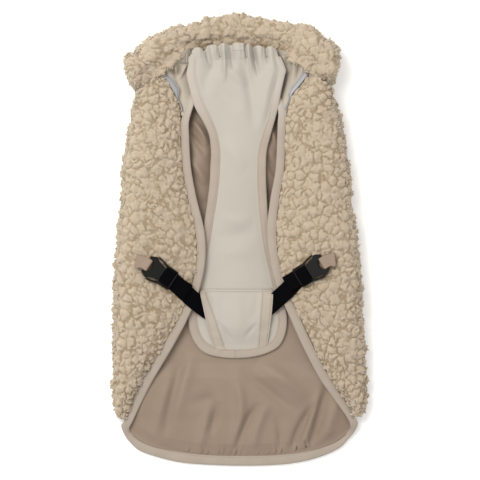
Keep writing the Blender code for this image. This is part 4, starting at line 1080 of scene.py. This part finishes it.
# The neck's elastic casing.
# The panel's neck end is turned over wide elastic, which gathers it into swells. The elastic's
# lapped end is a short square tab on top.
CASING_LEFT = -52.4
CASING_RIGHT = 42.0
CASING_LOW = 197.0
CASING_TOP = (
    # x, y
    (-53.0, 203.4), (-52.0, 207.6), (-49.8, 210.0), (-46.6, 210.9), (-43.0, 210.4), (-40.4, 208.4),
    (-39.2, 206.4), (-38.0, 208.6), (-36.0, 212.2), (-32.4, 213.9), (-28.4, 214.2), (-25.4, 213.4),
    (-23.9, 211.8), (-22.6, 213.4), (-20.4, 215.0), (-17.2, 215.3), (-14.0, 214.4), (-11.0, 213.4),
    (-8.4, 213.9), (-3.0, 214.3), (2.0, 213.8), (4.4, 212.4), (5.4, 210.2), (6.6, 212.6), (8.8, 214.2),
    (11.4, 214.0), (13.4, 212.6), (14.6, 210.6), (15.8, 212.0), (19.0, 212.8), (23.0, 212.5),
    (26.4, 211.2), (28.2, 209.0), (29.8, 211.0), (32.4, 212.1), (36.4, 211.8), (39.4, 209.6),
    (41.2, 206.4), (42.2, 202.6),
)
CASING_SEAM = 4.0
CASING_DEEP = 5.5
SWELL_FROM = 206.0
SWELL_OVER = 8.0
LAP = (-7.6, 4.8, 204.6, 215.4)
LAP_UP = 2.6
LAP_TUCK = 3.0
LAP_TUCK_FROM = 207.6
x = np.linspace(CASING_LEFT, CASING_RIGHT, 190)
reach = read_off(CASING_TOP, x, 1)
full = np.clip((reach - SWELL_FROM) / SWELL_OVER, 0.0, 1.0)
half = 1.2 + 1.3 * full
gather = 0.3 * np.sin(x * 0.9 + 3.4 * np.sin(x / 4.0))


def casing_height(y):
    """Height of the casing's upper face: it leaves the panel's face at the seam and swells up."""
    puff = np.clip((y - CASING_LOW) / 9.0, 0.0, 1.0) ** 1.5
    return panel_level(x, y) + 0.15 + (0.4 + 1.2 * full + gather) * puff


def casing_under(y):
    """Height of the casing's underside: level along the elastic, and clear below its deepest folds."""
    return np.minimum(panel_level(x, y, ()) - CASING_DEEP, casing_height(y) - 2.2)


def plate(name, x, y, top, thick, finish, coarse=1):
    """A thin sheet from a grid of plan points and the heights of its upper face."""
    upper = np.dstack((x, y, top))
    under = upper[:, ::-1][:, ::coarse] - (0.0, 0.0, thick)
    if coarse > 1:
        under = np.concatenate((under, upper[:, :1] - (0.0, 0.0, thick)), axis=1)
    rings = np.concatenate((upper, under), axis=1)
    piece = tube(name, rings, finish)
    wrap(piece, rings[..., 0], rings[..., 1])
    return piece


low = np.full_like(x, CASING_LOW)
seam = low + CASING_SEAM
shoulder = reach - 1.8
middle_y = (seam + shoulder) / 2
section = ((low, casing_height(low) - 1.2), (seam, casing_under(seam)), (shoulder, casing_under(shoulder)),
           (shoulder + 0.9, casing_under(shoulder) + 1.2), (reach, casing_height(reach) - 1.6 * half),
           (reach - 0.3, casing_height(reach) - 0.7 * half), (shoulder, casing_height(shoulder)),
           (middle_y, casing_height(middle_y)), (seam, casing_height(seam)), (low, casing_height(low) - 0.35))
rings = round_off(np.stack([np.column_stack((x, y, z)) for y, z in section], axis=1), 40)
casing = tube("gathered_casing", rings, softshell)
wrap(casing, rings[..., 0], girth(rings))
settle(casing, "cream_softshell", "neck_casing")
x_lap, y_lap = np.meshgrid(np.linspace(LAP[0], LAP[1], 26), np.linspace(LAP[2], LAP[3], 24))
level = panel_level(x_lap, y_lap) + LAP_UP
level -= LAP_TUCK * np.clip((LAP_TUCK_FROM - y_lap) / LAP_TUCK, 0.0, 1.0)
lap = plate("casing_tab", x_lap, y_lap, level, 1.0, softshell)
settle(lap, "cream_softshell", "neck_lap")


# The neck's facings and trims.
# Each side of the neck is filled by a gathered cream facing, sewn between the fleece and the
# panel. A narrow reflective trim is sewn along it, at the fleece.
FACING_TOP = {"left": 210.0, "right": 208.0}
FACING_END = {"left": 136.0, "right": 132.0}
FACING_INNER = {"left": 22.0, "right": 19.0}
FACING_HIGHEST = 30.6
FACING_THICK = 1.2
FACING_DOWN = 1.4
FACING_FADE = 20.0
UNDER_FLEECE = 0.4
UNDER_PANEL_TAPE = 2.5
FACING_FOOT = {
    # x, y of the facing's inner edge, under the tape
    "left": ((-51.0, 152.0), (-54.0, 146.0), (-58.4, 141.0), (-62.4, 136.0)),
    "right": ((41.0, 152.0), (44.6, 146.0), (48.4, 140.0), (51.0, 132.0)),
}
FACING_FOLDS = {
    # x0, y0, x1, y1, x2, y2, width, rise
    "left": ((-75.0, 199.0, -71.0, 190.0, -66.6, 176.0, 2.0, 5.0),
             (-77.4, 194.0, -73.0, 186.0, -68.6, 176.0, 1.5, -4.5),
             (-84.0, 190.0, -78.0, 182.0, -70.0, 168.0, 3.0, 2.6),
             (-65.6, 194.0, -66.4, 186.0, -68.6, 176.0, 2.0, -4.5),
             (-57.4, 193.0, -61.0, 186.0, -66.4, 176.0, 1.8, 3.4),
             (-70.4, 178.0, -66.0, 168.0, -63.4, 150.0, 2.2, -2.4),
             (-71.0, 193.3, -62.0, 193.5, -52.0, 193.2, 0.7, -3.0),
             (-59.0, 205.0, -59.0, 200.0, -58.8, 194.0, 0.5, -1.2),
             (-55.0, 205.0, -54.6, 200.0, -54.2, 194.0, 0.5, -1.6)),
    "right": ((51.0, 188.0, 47.0, 168.0, 42.6, 142.0, 3.0, -3.5),
              (52.0, 204.0, 54.0, 196.0, 56.4, 184.0, 2.6, -4.0),
              (60.0, 200.0, 60.4, 188.0, 56.4, 170.0, 2.4, 3.4),
              (65.4, 196.0, 65.2, 186.0, 62.4, 172.0, 1.3, -3.4),
              (70.6, 192.0, 68.0, 184.0, 62.6, 172.0, 2.2, 2.4),
              (47.0, 202.0, 48.6, 197.0, 50.0, 190.0, 1.2, 3.2)),
}
TRIM_TOP = 183.0
TRIM_END = {"left": 141.0, "right": 143.0}
TRIM_WIDTH = 7.4
TRIM_GAP = 1.2
TRIM_UP = 1.0
TRIM_TILT = 1.2
TRIM_WAVE = 0.3
NARROW_BELOW = 152.0
NARROW_OVER = 14.0
NARROWEST = 0.22


def line_at(points, y):
    """Position in x, at y, of a line through plan points."""
    return read_off([(b, a) for a, b in points], y, 1)


# The facing is a shaded copy of the softshell: painted shade, a little darker and duller than the panel.
shaded_softshell = woven("softshell_wrong_side", "BAAF9F", "AEA392", 0.7, 0.1, 0.9, 0.2, 0.15, 25.0)
# Reflective trim: glass beads in a grey film, smooth and a little metallic, with a bluish cast.
silver, _, shader = surface("glass_bead_trim", "969595", 0.5, 0.4)
shader.inputs["Metallic"].default_value = 0.1
# Dark grey sewing thread along the trim: matt, it gives the band a thin dotted line.
grey_thread, _, _ = surface("grey_trim_thread", "5C5A5E", 0.7, 0.3)
for side, table_rows, sign in (("left", LEFT_SIDE, -1.0), ("right", RIGHT_SIDE, 1.0)):
    rows = spread(table_rows, 25)
    fold, edge = rows[:, 0:2], rows[:, 2:4]
    span = np.linalg.norm(edge - fold, axis=1)[:, None]
    outer_line = list(fold + (edge - fold) * (span - rows[:, 4:5]) / span)
    start_y = outer_line[0][1]
    outer_line += [row[:2] for row in spread(COLLAR, 39) if row[0] * sign > 0 and row[1] > start_y]
    column = 1 if side == "left" else 2
    inner_line = [(row[column], row[0]) for row in PANEL if row[0] > 190.0]
    inner_line += [row[2:4] for row in spread(PANEL_TAPE_ROUTE, 61) if row[2] * sign > 0 and row[3] > 158.0]
    inner_line += FACING_FOOT[side]
    y = np.linspace(FACING_TOP[side], FACING_END[side], 130)[:, None]
    outer = line_at(outer_line, y) - sign * UNDER_FLEECE
    inner = line_at(inner_line, y) - sign * UNDER_PANEL_TAPE
    share = np.linspace(0.0, 1.0, 60)[None, :]
    x = outer + (inner - outer) * share
    edge_top = read_off(SIDE_HEIGHTS, y, 2)
    inward = np.clip((y - FACING_END[side]) / FACING_FADE, 0.0, 1.0) * (edge_top - FACING_INNER[side])
    y = np.repeat(y, x.shape[1], axis=1)
    level = edge_top - FACING_DOWN - inward * share ** 1.5
    level += folds_at(x, y, FACING_FOLDS[side]) * np.clip(np.minimum(share, 1.2 - share) * 8.0, 0.0, 1.0)
    level = np.minimum(level, FACING_HIGHEST)
    facing = plate("facing_cloth_" + side, x, y, level, FACING_THICK, shaded_softshell, 4)
    settle(facing, "cream_softshell", "facing_" + side)
    y = np.linspace(TRIM_TOP, TRIM_END[side], 70)[:, None]
    share = np.linspace(0.0, 1.0, 12)[None, :]
    narrow = np.clip((y - NARROW_BELOW) / NARROW_OVER, NARROWEST, 1.0)
    x = line_at(outer_line, y) - sign * (TRIM_GAP + TRIM_WIDTH * narrow * share)
    y = np.repeat(y, x.shape[1], axis=1)
    level = read_off(SIDE_HEIGHTS, y, 2) + TRIM_UP - TRIM_TILT * share + TRIM_WAVE * np.sin(y / 3.5)
    trim = plate("reflective_band_" + side, x, y, level, 1.0, silver)
    settle(trim, "silver_reflective", "reflective_" + side)
    line = np.column_stack((x[:, 8], y[:, 8], level[:, 8] + 0.1))
    trim_thread = sew("trim_stitches_" + side, [line], grey_thread, 2.4, 1.9, 0.8, 17)


# The strap, its tails and the loops.
# One length of navy webbing runs from buckle to buckle through the tunnel, and each end doubles
# back on itself. Short taupe loops sewn on the sides hold the other halves of the buckles.
STRAP_WIDTH = 18.6
STRAP_THICK = 1.5
STRAP_PROBED = 0.98
CORD_SPACING = 1.5
PICK_SPACING = 0.9
ROUNDED_FROM = 0.9
STRAP_ROUTE = (
    # x, y
    (-79.6, -41.2), (-72.5, -45.9), (-61.0, -56.6), (-48.0, -68.7), (-33.0, -79.6), (-16.0, -85.6),
    (0.0, -86.6), (15.0, -83.8), (29.0, -76.6), (43.3, -64.0), (55.0, -52.9), (63.4, -43.0),
    (70.6, -38.45),
)
BUCKLES = {
    # mouth_x, mouth_y, heading in degrees, how far from the mouth the strap's tail ends
    "left": (-102.6, -26.1, -33.2, 57.0),
    "right": (94.0, -24.0, 211.7, 50.5),
}
SOCKET_PROBES = (9.0, 19.0)
SOCKET_TOP = 6.4
TAIL_START = 34.9
TAIL_OFFSET = -0.9
LOOP_FOLD = (
    # along, up, inner_along, inner_up
    (-11.0, 0.8, -6.0, 2.0),
    (-4.0, 0.6, -3.5, 2.0),
    (2.2, 0.4, 2.0, 1.75),
    (4.6, 1.6, 3.3, 2.2),
    (4.6, 4.8, 3.3, 4.2),
    (2.2, 6.0, 2.0, 4.65),
    (-4.0, 4.4, -3.5, 3.0),
    (-11.0, 3.4, -6.0, 2.6),
)
LOOP_HALF = 6.7
LOOP_LEAN = 0.35


def fall_on(node, x, y):
    """Height, in millimetres, of a solid's highest face at each plan point; not-a-number off it."""
    solid, down = search_tree(node), Vector((0.0, 0.0, -1.0))
    found = np.full(np.shape(x), np.nan)
    for place in np.ndindex(found.shape):
        hit = solid.ray_cast(Vector((x[place] * MM, y[place] * MM, 1.0)), down)[0]
        if hit is not None:
            found[place] = hit.z / MM
    return found


def mend(level, passes):
    """Fill a grid's missing heights from their neighbours, then smooth it."""
    while np.isnan(level).any():
        padded = np.pad(level, 1, constant_values=np.nan)
        near = np.stack([padded[1 + a:padded.shape[0] - 1 + a, 1 + b:padded.shape[1] - 1 + b]
                         for a in (-1, 0, 1) for b in (-1, 0, 1)])
        count = (~np.isnan(near)).sum(axis=0)
        filled = np.nansum(near, axis=0) / np.maximum(count, 1)
        level = np.where(np.isnan(level) & (count > 0), filled, level)
    for _ in range(passes):
        padded = np.pad(level, 1, mode="edge")
        level = (padded[:-2, 1:-1] + padded[2:, 1:-1] + padded[1:-1, :-2] + padded[1:-1, 2:]) / 4.0
    return level


def webbing(name, code, worn, roughness):
    """Webbing with cords along it and a fine pick across, on a piece's cloth UV map."""
    finish, tree, shader = surface(name, code, roughness, 0.06)
    uv = add(tree, "ShaderNodeUVMap", uv_map="cloth").outputs[0]
    waves = []
    for spacing, way in ((CORD_SPACING, "X"), (PICK_SPACING, "Y")):
        pick = {"Vector": uv, "Scale": math.pi / 10.0 / (spacing * MM)}
        waves.append(add(tree, "ShaderNodeTexWave", pick, bands_direction=way).outputs["Fac"])
    cords, picks = waves
    relief = add(tree, "ShaderNodeMath", {0: picks, 1: 0.5, 2: cords}, operation="MULTIPLY_ADD").outputs[0]
    bump = add(tree, "ShaderNodeBump", {"Height": relief, "Strength": 0.7, "Distance": 0.35 * MM})
    tones = {"Factor": cords, "A": linear(worn), "B": linear(code)}
    tone = add(tree, "ShaderNodeMix", tones, data_type="RGBA")
    tree.links.new(tone.outputs["Result"], shader.inputs["Base Color"])
    tree.links.new(bump.outputs["Normal"], shader.inputs["Normal"])
    return finish


def ribbon(name, x, y, top, thick, finish):
    """A strip with rounded edges from a grid of plan points along it and across it."""
    share = np.abs(np.linspace(-1.0, 1.0, x.shape[1]))[None, :]
    past = np.clip((share - ROUNDED_FROM) / (1.0 - ROUNDED_FROM), 0.0, 1.0)
    drop = thick * 0.5 * (1.0 - np.sqrt(1.0 - past ** 2))
    under = np.dstack((x, y, top - thick + drop))[:, ::-1][:, 1:-1]
    rings = np.concatenate((np.dstack((x, y, top - drop)), under), axis=1)
    piece = tube(name, rings, finish)
    plan = np.dstack((x, y))
    run = np.linalg.norm(np.diff(plan, axis=0, prepend=plan[:1]), axis=2).mean(axis=1).cumsum()[:, None]
    width = girth(plan)
    width = np.concatenate((width, width[:, ::-1][:, 1:-1]), axis=1)
    wrap(piece, width, np.repeat(run, rings.shape[1], axis=1))
    return piece


# Navy polypropylene webbing: near-black, with ribbed cords that catch a little light.
navy = webbing("navy_ribbed_webbing", "040407", "020203", 0.85)
# Taupe nylon webbing of the loops: the same rib in a soft brown.
taupe = webbing("taupe_ribbed_webbing", "A49080", "927E6D", 0.8)
middle = even(STRAP_ROUTE, 1.2)
ahead = np.gradient(middle, axis=0)
ahead /= np.linalg.norm(ahead, axis=1)[:, None]
share = np.linspace(-0.5, 0.5, 30)[None, :]
aside = np.dstack((-ahead[:, 1:2] * STRAP_WIDTH * share, ahead[:, 0:1] * STRAP_WIDTH * share))
probes = middle[:, None] + aside * STRAP_PROBED
level = mend(fall_on("belly_strap", probes[..., 0], probes[..., 1]), 8)
spots = middle[:, None] + aside
strap = ribbon("belly_webbing", spots[..., 0], spots[..., 1], level, STRAP_THICK, navy)
settle(strap, "navy_webbing", "belly_strap")


class Seat:
    """Frame of a buckle: along it from its mouth, across it, and up from the cloth below it."""

    def __init__(self, side):
        mouth_x, mouth_y, heading, self.tail = BUCKLES[side]
        turn = math.radians(heading)
        self.ahead = np.array((math.cos(turn), math.sin(turn), 0.0))
        self.side = np.array((-math.sin(turn), math.cos(turn), 0.0))
        self.start = np.array((mouth_x, mouth_y, 0.0))
        plan = [self.start + self.ahead * along for along in SOCKET_PROBES]
        near, far = fall_on("buckle_socket_" + side, *np.array(plan).T[:2])
        slope = (far - near) / (SOCKET_PROBES[1] - SOCKET_PROBES[0])
        self.ahead[2] = slope
        self.ahead /= np.linalg.norm(self.ahead)
        self.normal = np.cross(self.ahead, self.side)
        self.start[2] = near - SOCKET_PROBES[0] * slope - SOCKET_TOP / self.normal[2]

    def point(self, along, across, up):
        """Points in the coat's frame, from distances along, across and up from the buckle's mouth."""
        along, across, up = (np.asarray(value, float)[..., None] for value in (along, across, up))
        return self.start + self.ahead * along + self.side * across + self.normal * up


seats = {side: Seat(side) for side in BUCKLES}
for side, seat in seats.items():
    tail_run = np.linspace(TAIL_START, seat.tail, 24)
    along, wide = np.meshgrid(tail_run, np.linspace(-0.48, 0.48, 26), indexing="ij")
    spots = seat.point(along, TAIL_OFFSET + STRAP_WIDTH * wide, 0.0)
    level = mend(fall_on("strap_tail_" + side, spots[..., 0], spots[..., 1]), 4)
    tail = ribbon("webbing_end_" + side, spots[..., 0], spots[..., 1], level, STRAP_THICK, navy)
    settle(tail, "navy_webbing", "strap_tail_" + side)
    skew = -1.0 if side == "left" else 1.0
    closed = [*LOOP_FOLD[-2:], *LOOP_FOLD, *LOOP_FOLD[:3]]
    rings = []
    for along, up, inner_along, inner_up in spread(closed, (len(closed) - 1) * 10 + 1)[20:-30]:
        lean = max(0.0, -along - 2.0) * LOOP_LEAN
        corners = []
        for mix, edge in ((0.0, 1.0), (0.0, 0.0), (0.0, -1.0), (1.0, -1.0), (1.0, 0.0), (1.0, 1.0)):
            a = along + (inner_along - along) * mix
            h = up + (inner_up - up) * mix
            corners.append(seat.point(a + skew * edge * lean, LOOP_HALF * edge + skew * lean, h))
        rings.append(corners)
    rings = np.array(rings)
    fine = []
    for k, count in enumerate((8, 8, 2, 8, 8, 2)):
        steps = np.linspace(0.0, 1.0, count, endpoint=False)[None, :, None]
        fine.append(rings[:, [k]] * (1 - steps) + rings[:, [(k + 1) % 6]] * steps)
    rings = np.concatenate(fine, axis=1)
    loop = tube("webbing_loop_" + side, rings, taupe, closed=True)
    wrap(loop, np.linalg.norm(rings - rings[:, :1], axis=2), girth(rings, 0))
    settle(loop, "taupe_webbing", "loop_" + side)


# The tunnel.
# The strap runs through a flat tunnel of the cream softshell across the panel. Its top edge is
# folded and stitched twice, and each end is turned in and stitched.
TUNNEL = (
    # y, left, right, left_band, right_band
    (-53.0, -42.4, 35.6, 6.0, 12.0),
    (-60.0, -42.8, 36.6, 6.8, 12.8),
    (-72.0, -40.4, 36.0, 8.8, 13.0),
    (-86.0, -37.4, 34.7, 10.8, 12.8),
    (-100.0, -34.0, 33.0, 12.0, 12.0),
    (-113.0, -30.6, 31.2, 12.8, 11.0),
    (-121.5, -28.0, 29.8, 13.0, 10.6),
)
TUNNEL_FOLDS = (
    # x0, y0, x1, y1, x2, y2, width, rise
    (-24.5, -89.0, -17.0, -98.0, -7.0, -114.0, 1.9, -2.0),
    (20.0, -92.0, 13.0, -98.0, 5.0, -110.0, 2.4, -1.4),
    (-4.0, -58.0, 0.0, -84.0, 1.0, -114.0, 7.0, 1.5),
    (-24.0, -60.0, -18.0, -76.0, -16.0, -92.0, 5.0, -1.2),
    (20.0, -58.0, 18.0, -74.0, 14.0, -90.0, 4.5, -1.0),
)
TUNNEL_TOP_SEAMS = (-54.6, -57.4)
TUNNEL_END_SEAMS = (0.14, 0.86)
TUNNEL_SOLID = (-112.4, -53.4)
FLUSH_FROM = -62.0
FLUSH_OVER = 7.0
TUNNEL_FOOT = 13.4
FOOT_FROM = -104.0
FOOT_OVER = 14.0
TOP_GROOVE = 0.3
END_GROOVE = 0.2
BAND_OUT = 0.3
TUNNEL_THICK = 0.8
TUNNEL_UP = 0.45
rows = spread(TUNNEL, 90)
share = np.linspace(0.0, 1.0, 96)[None, :]
x = rows[:, 1:2] * (1 - share) + rows[:, 2:3] * share
y = np.repeat(rows[:, 0:1], x.shape[1], axis=1)
probe = np.clip(y, *TUNNEL_SOLID)
past_end = probe - TUNNEL_SOLID[0]
level = mend(fall_on("strap_tunnel", np.clip(x, -30.0 - past_end * 0.19, 27.0 + past_end * 0.15), probe), 6)
level += folds_at(x, y, TUNNEL_FOLDS)
flush = np.clip((y - FLUSH_FROM) / FLUSH_OVER, 0.0, 1.0)
level = level * (1 - flush) + (panel_level(x, y) + TUNNEL_UP) * flush
foot = np.clip((FOOT_FROM - y) / FOOT_OVER, 0.0, 1.0) ** 1.5
level = level * (1 - foot) + TUNNEL_FOOT * foot
for stitched in TUNNEL_TOP_SEAMS:
    level -= TOP_GROOVE * np.exp(-((y - stitched) / 0.6) ** 2)
tunnel = plate("tunnel_patch", x, y, level, TUNNEL_THICK, softshell, 4)
settle(tunnel, "cream_softshell", "strap_tunnel")


def over_tunnel(points):
    """A line of plan points laid on the tunnel's cloth."""
    points = np.array(points, float)
    nearest = [np.argmin((x - a) ** 2 + (y - b) ** 2) for a, b in points]
    return np.column_stack((points, level.ravel()[nearest] + 0.35))


# The patch's turned-in ends: the same cloth doubled, a little pinker and denser.
doubled = woven("doubled_softshell_hem", "B4A99B", "A99D8E", 0.7, 0.1, 0.85, 0.25, 0.15, 25.0)
lines = [over_tunnel([(a, seam) for a in np.linspace(-40.5, 35.0, 40)]) for seam in TUNNEL_TOP_SEAMS]
for side, column, sign in (("left", 1, 1.0), ("right", 2, -1.0)):
    part = np.linspace(0.0, 1.0, 14)[None, :]
    band_x = rows[6:, column:column + 1] + sign * (rows[6:, column + 2:column + 3] * part - BAND_OUT)
    band_y = np.repeat(rows[6:, 0:1], part.shape[1], axis=1)
    band_level = np.stack([np.interp(line, x[6 + k], level[6 + k]) for k, line in enumerate(band_x)])
    band_level += TUNNEL_UP
    for share in TUNNEL_END_SEAMS:
        band_level -= END_GROOVE * np.exp(-((part - share) / 0.06) ** 2)
        seam = [(row[column] + sign * row[column + 2] * share, row[0]) for row in spread(TUNNEL, 40)[6:-3]]
        lines.append(over_tunnel(seam) + (0.0, 0.0, 0.3))
    band = plate("tunnel_hem_" + side, band_x, band_y, band_level, TUNNEL_THICK, doubled)
    settle(band, "cream_softshell")
tunnel_thread = sew("tunnel_stitches", lines, thread, 2.6, 2.0, 0.45, 21)


# The buckles.
# Two side-release buckles of black acetal, moulded in two halves that click together. They are
# fastened: the socket's mouth holds the loop, and the plug's end bar holds the strap.
SOCKET_HALF = (
    # along, across
    (7.8, 0.0), (7.6, 2.6), (6.6, 5.0), (4.4, 6.6), (0.6, 7.4), (-0.5, 8.6), (0.2, 10.0), (3.4, 11.4),
    (6.4, 13.0), (8.0, 13.0), (9.2, 10.8), (21.4, 7.4), (21.4, 0.0),
)
PLUG_HALF = (
    # along, across
    (26.4, 0.0), (26.4, 10.1), (36.0, 10.1), (36.0, 11.2), (30.0, 11.5), (22.4, 11.4), (15.0, 13.4),
    (9.0, 14.4), (8.2, 13.8), (8.8, 12.7), (15.0, 11.6), (20.8, 9.4), (21.8, 8.2), (21.8, 0.0),
)
BAR_HALF = (
    # along, across
    (34.4, 0.0), (34.4, 8.6), (35.6, 8.6), (35.6, 0.0),
)
MOULDED = (
    # piece, outline, lowest, highest, solids that it stands for
    ("socket_half_", SOCKET_HALF, 0.8, 5.6, ("buckle_socket_",)),
    ("plug_half_", PLUG_HALF, 1.2, 5.0, ("buckle_plug_",)),
    ("adjuster_bar_", BAR_HALF, 5.0, 7.4, ()),
)
EDGE_ROUND = (
    # share of the height, inset
    (0.0, 0.5), (0.04, 0.2), (0.1, 0.0), (0.75, 0.0), (0.88, 0.06), (0.96, 0.2), (1.0, 0.45),
)
WRAP = (21.8, 33.8)
WRAP_OFFSET = 0.8
WRAP_TOP = 6.9
WRAP_THICK = 1.7


def moulding(name, seat, half_outline, low, high, finish):
    """A moulded half of the buckle: a mirrored outline raised with rounded edges."""
    outline = np.array([*half_outline, *[(a, -c) for a, c in half_outline[-2:0:-1]]])
    fine = []
    for here, ahead in zip(outline, np.roll(outline, -1, axis=0)):
        count = max(2, int(np.linalg.norm(ahead - here) / 0.8))
        shares = np.linspace(0.0, 1.0, count, endpoint=False)[:, None]
        fine.append(here * (1 - shares) + ahead * shares)
    outline = np.concatenate(fine)
    for _ in range(2):
        outline = outline * 0.5 + (np.roll(outline, 1, axis=0) + np.roll(outline, -1, axis=0)) * 0.25
    ahead = np.roll(outline, -1, axis=0)
    tangent = ahead - np.roll(outline, 1, axis=0)
    tangent /= np.linalg.norm(tangent, axis=1)[:, None]
    area = 0.5 * np.sum(outline[:, 0] * ahead[:, 1] - ahead[:, 0] * outline[:, 1])
    outward = np.column_stack((tangent[:, 1], -tangent[:, 0])) * math.copysign(1.0, area)
    rings = []
    for up, inset in EDGE_ROUND:
        spots = outline - outward * inset
        rings.append(seat.point(spots[:, 0], spots[:, 1], low + (high - low) * up))
    piece = tube(name, np.array(rings), finish)
    for face in piece.data.polygons:
        face.use_smooth = len(face.vertices) == 4
    return piece


# Black acetal: an injection-moulded plastic with a fine satin grain and soft highlights.
acetal, tree, shader = surface("black_satin_acetal", "0D0C0A", 0.45, 0.22)
place = add(tree, "ShaderNodeTexCoord").outputs["Object"]
grain = add(tree, "ShaderNodeTexNoise", {"Vector": place, "Scale": 2600.0, "Detail": 2.0}).outputs["Fac"]
bump = add(tree, "ShaderNodeBump", {"Height": grain, "Strength": 0.3, "Distance": 0.05 * MM})
tree.links.new(bump.outputs["Normal"], shader.inputs["Normal"])
for side, seat in seats.items():
    for name, outline, low, high, solids in MOULDED:
        half = moulding(name + side, seat, outline, low, high, acetal)
        settle(half, "black_acetal", *(solid + side for solid in solids))
    along, wide = np.meshgrid(np.linspace(*WRAP, 20), np.linspace(-0.5, 0.5, 26), indexing="ij")
    height = WRAP_TOP + 0.5 * np.sin((along - WRAP[0]) / 3.6)
    spots = seat.point(along, WRAP_OFFSET + STRAP_WIDTH * wide, height)
    wrapped = ribbon("webbing_wrap_" + side, spots[..., 0], spots[..., 1], spots[..., 2], WRAP_THICK, navy)
    settle(wrapped, "navy_webbing")
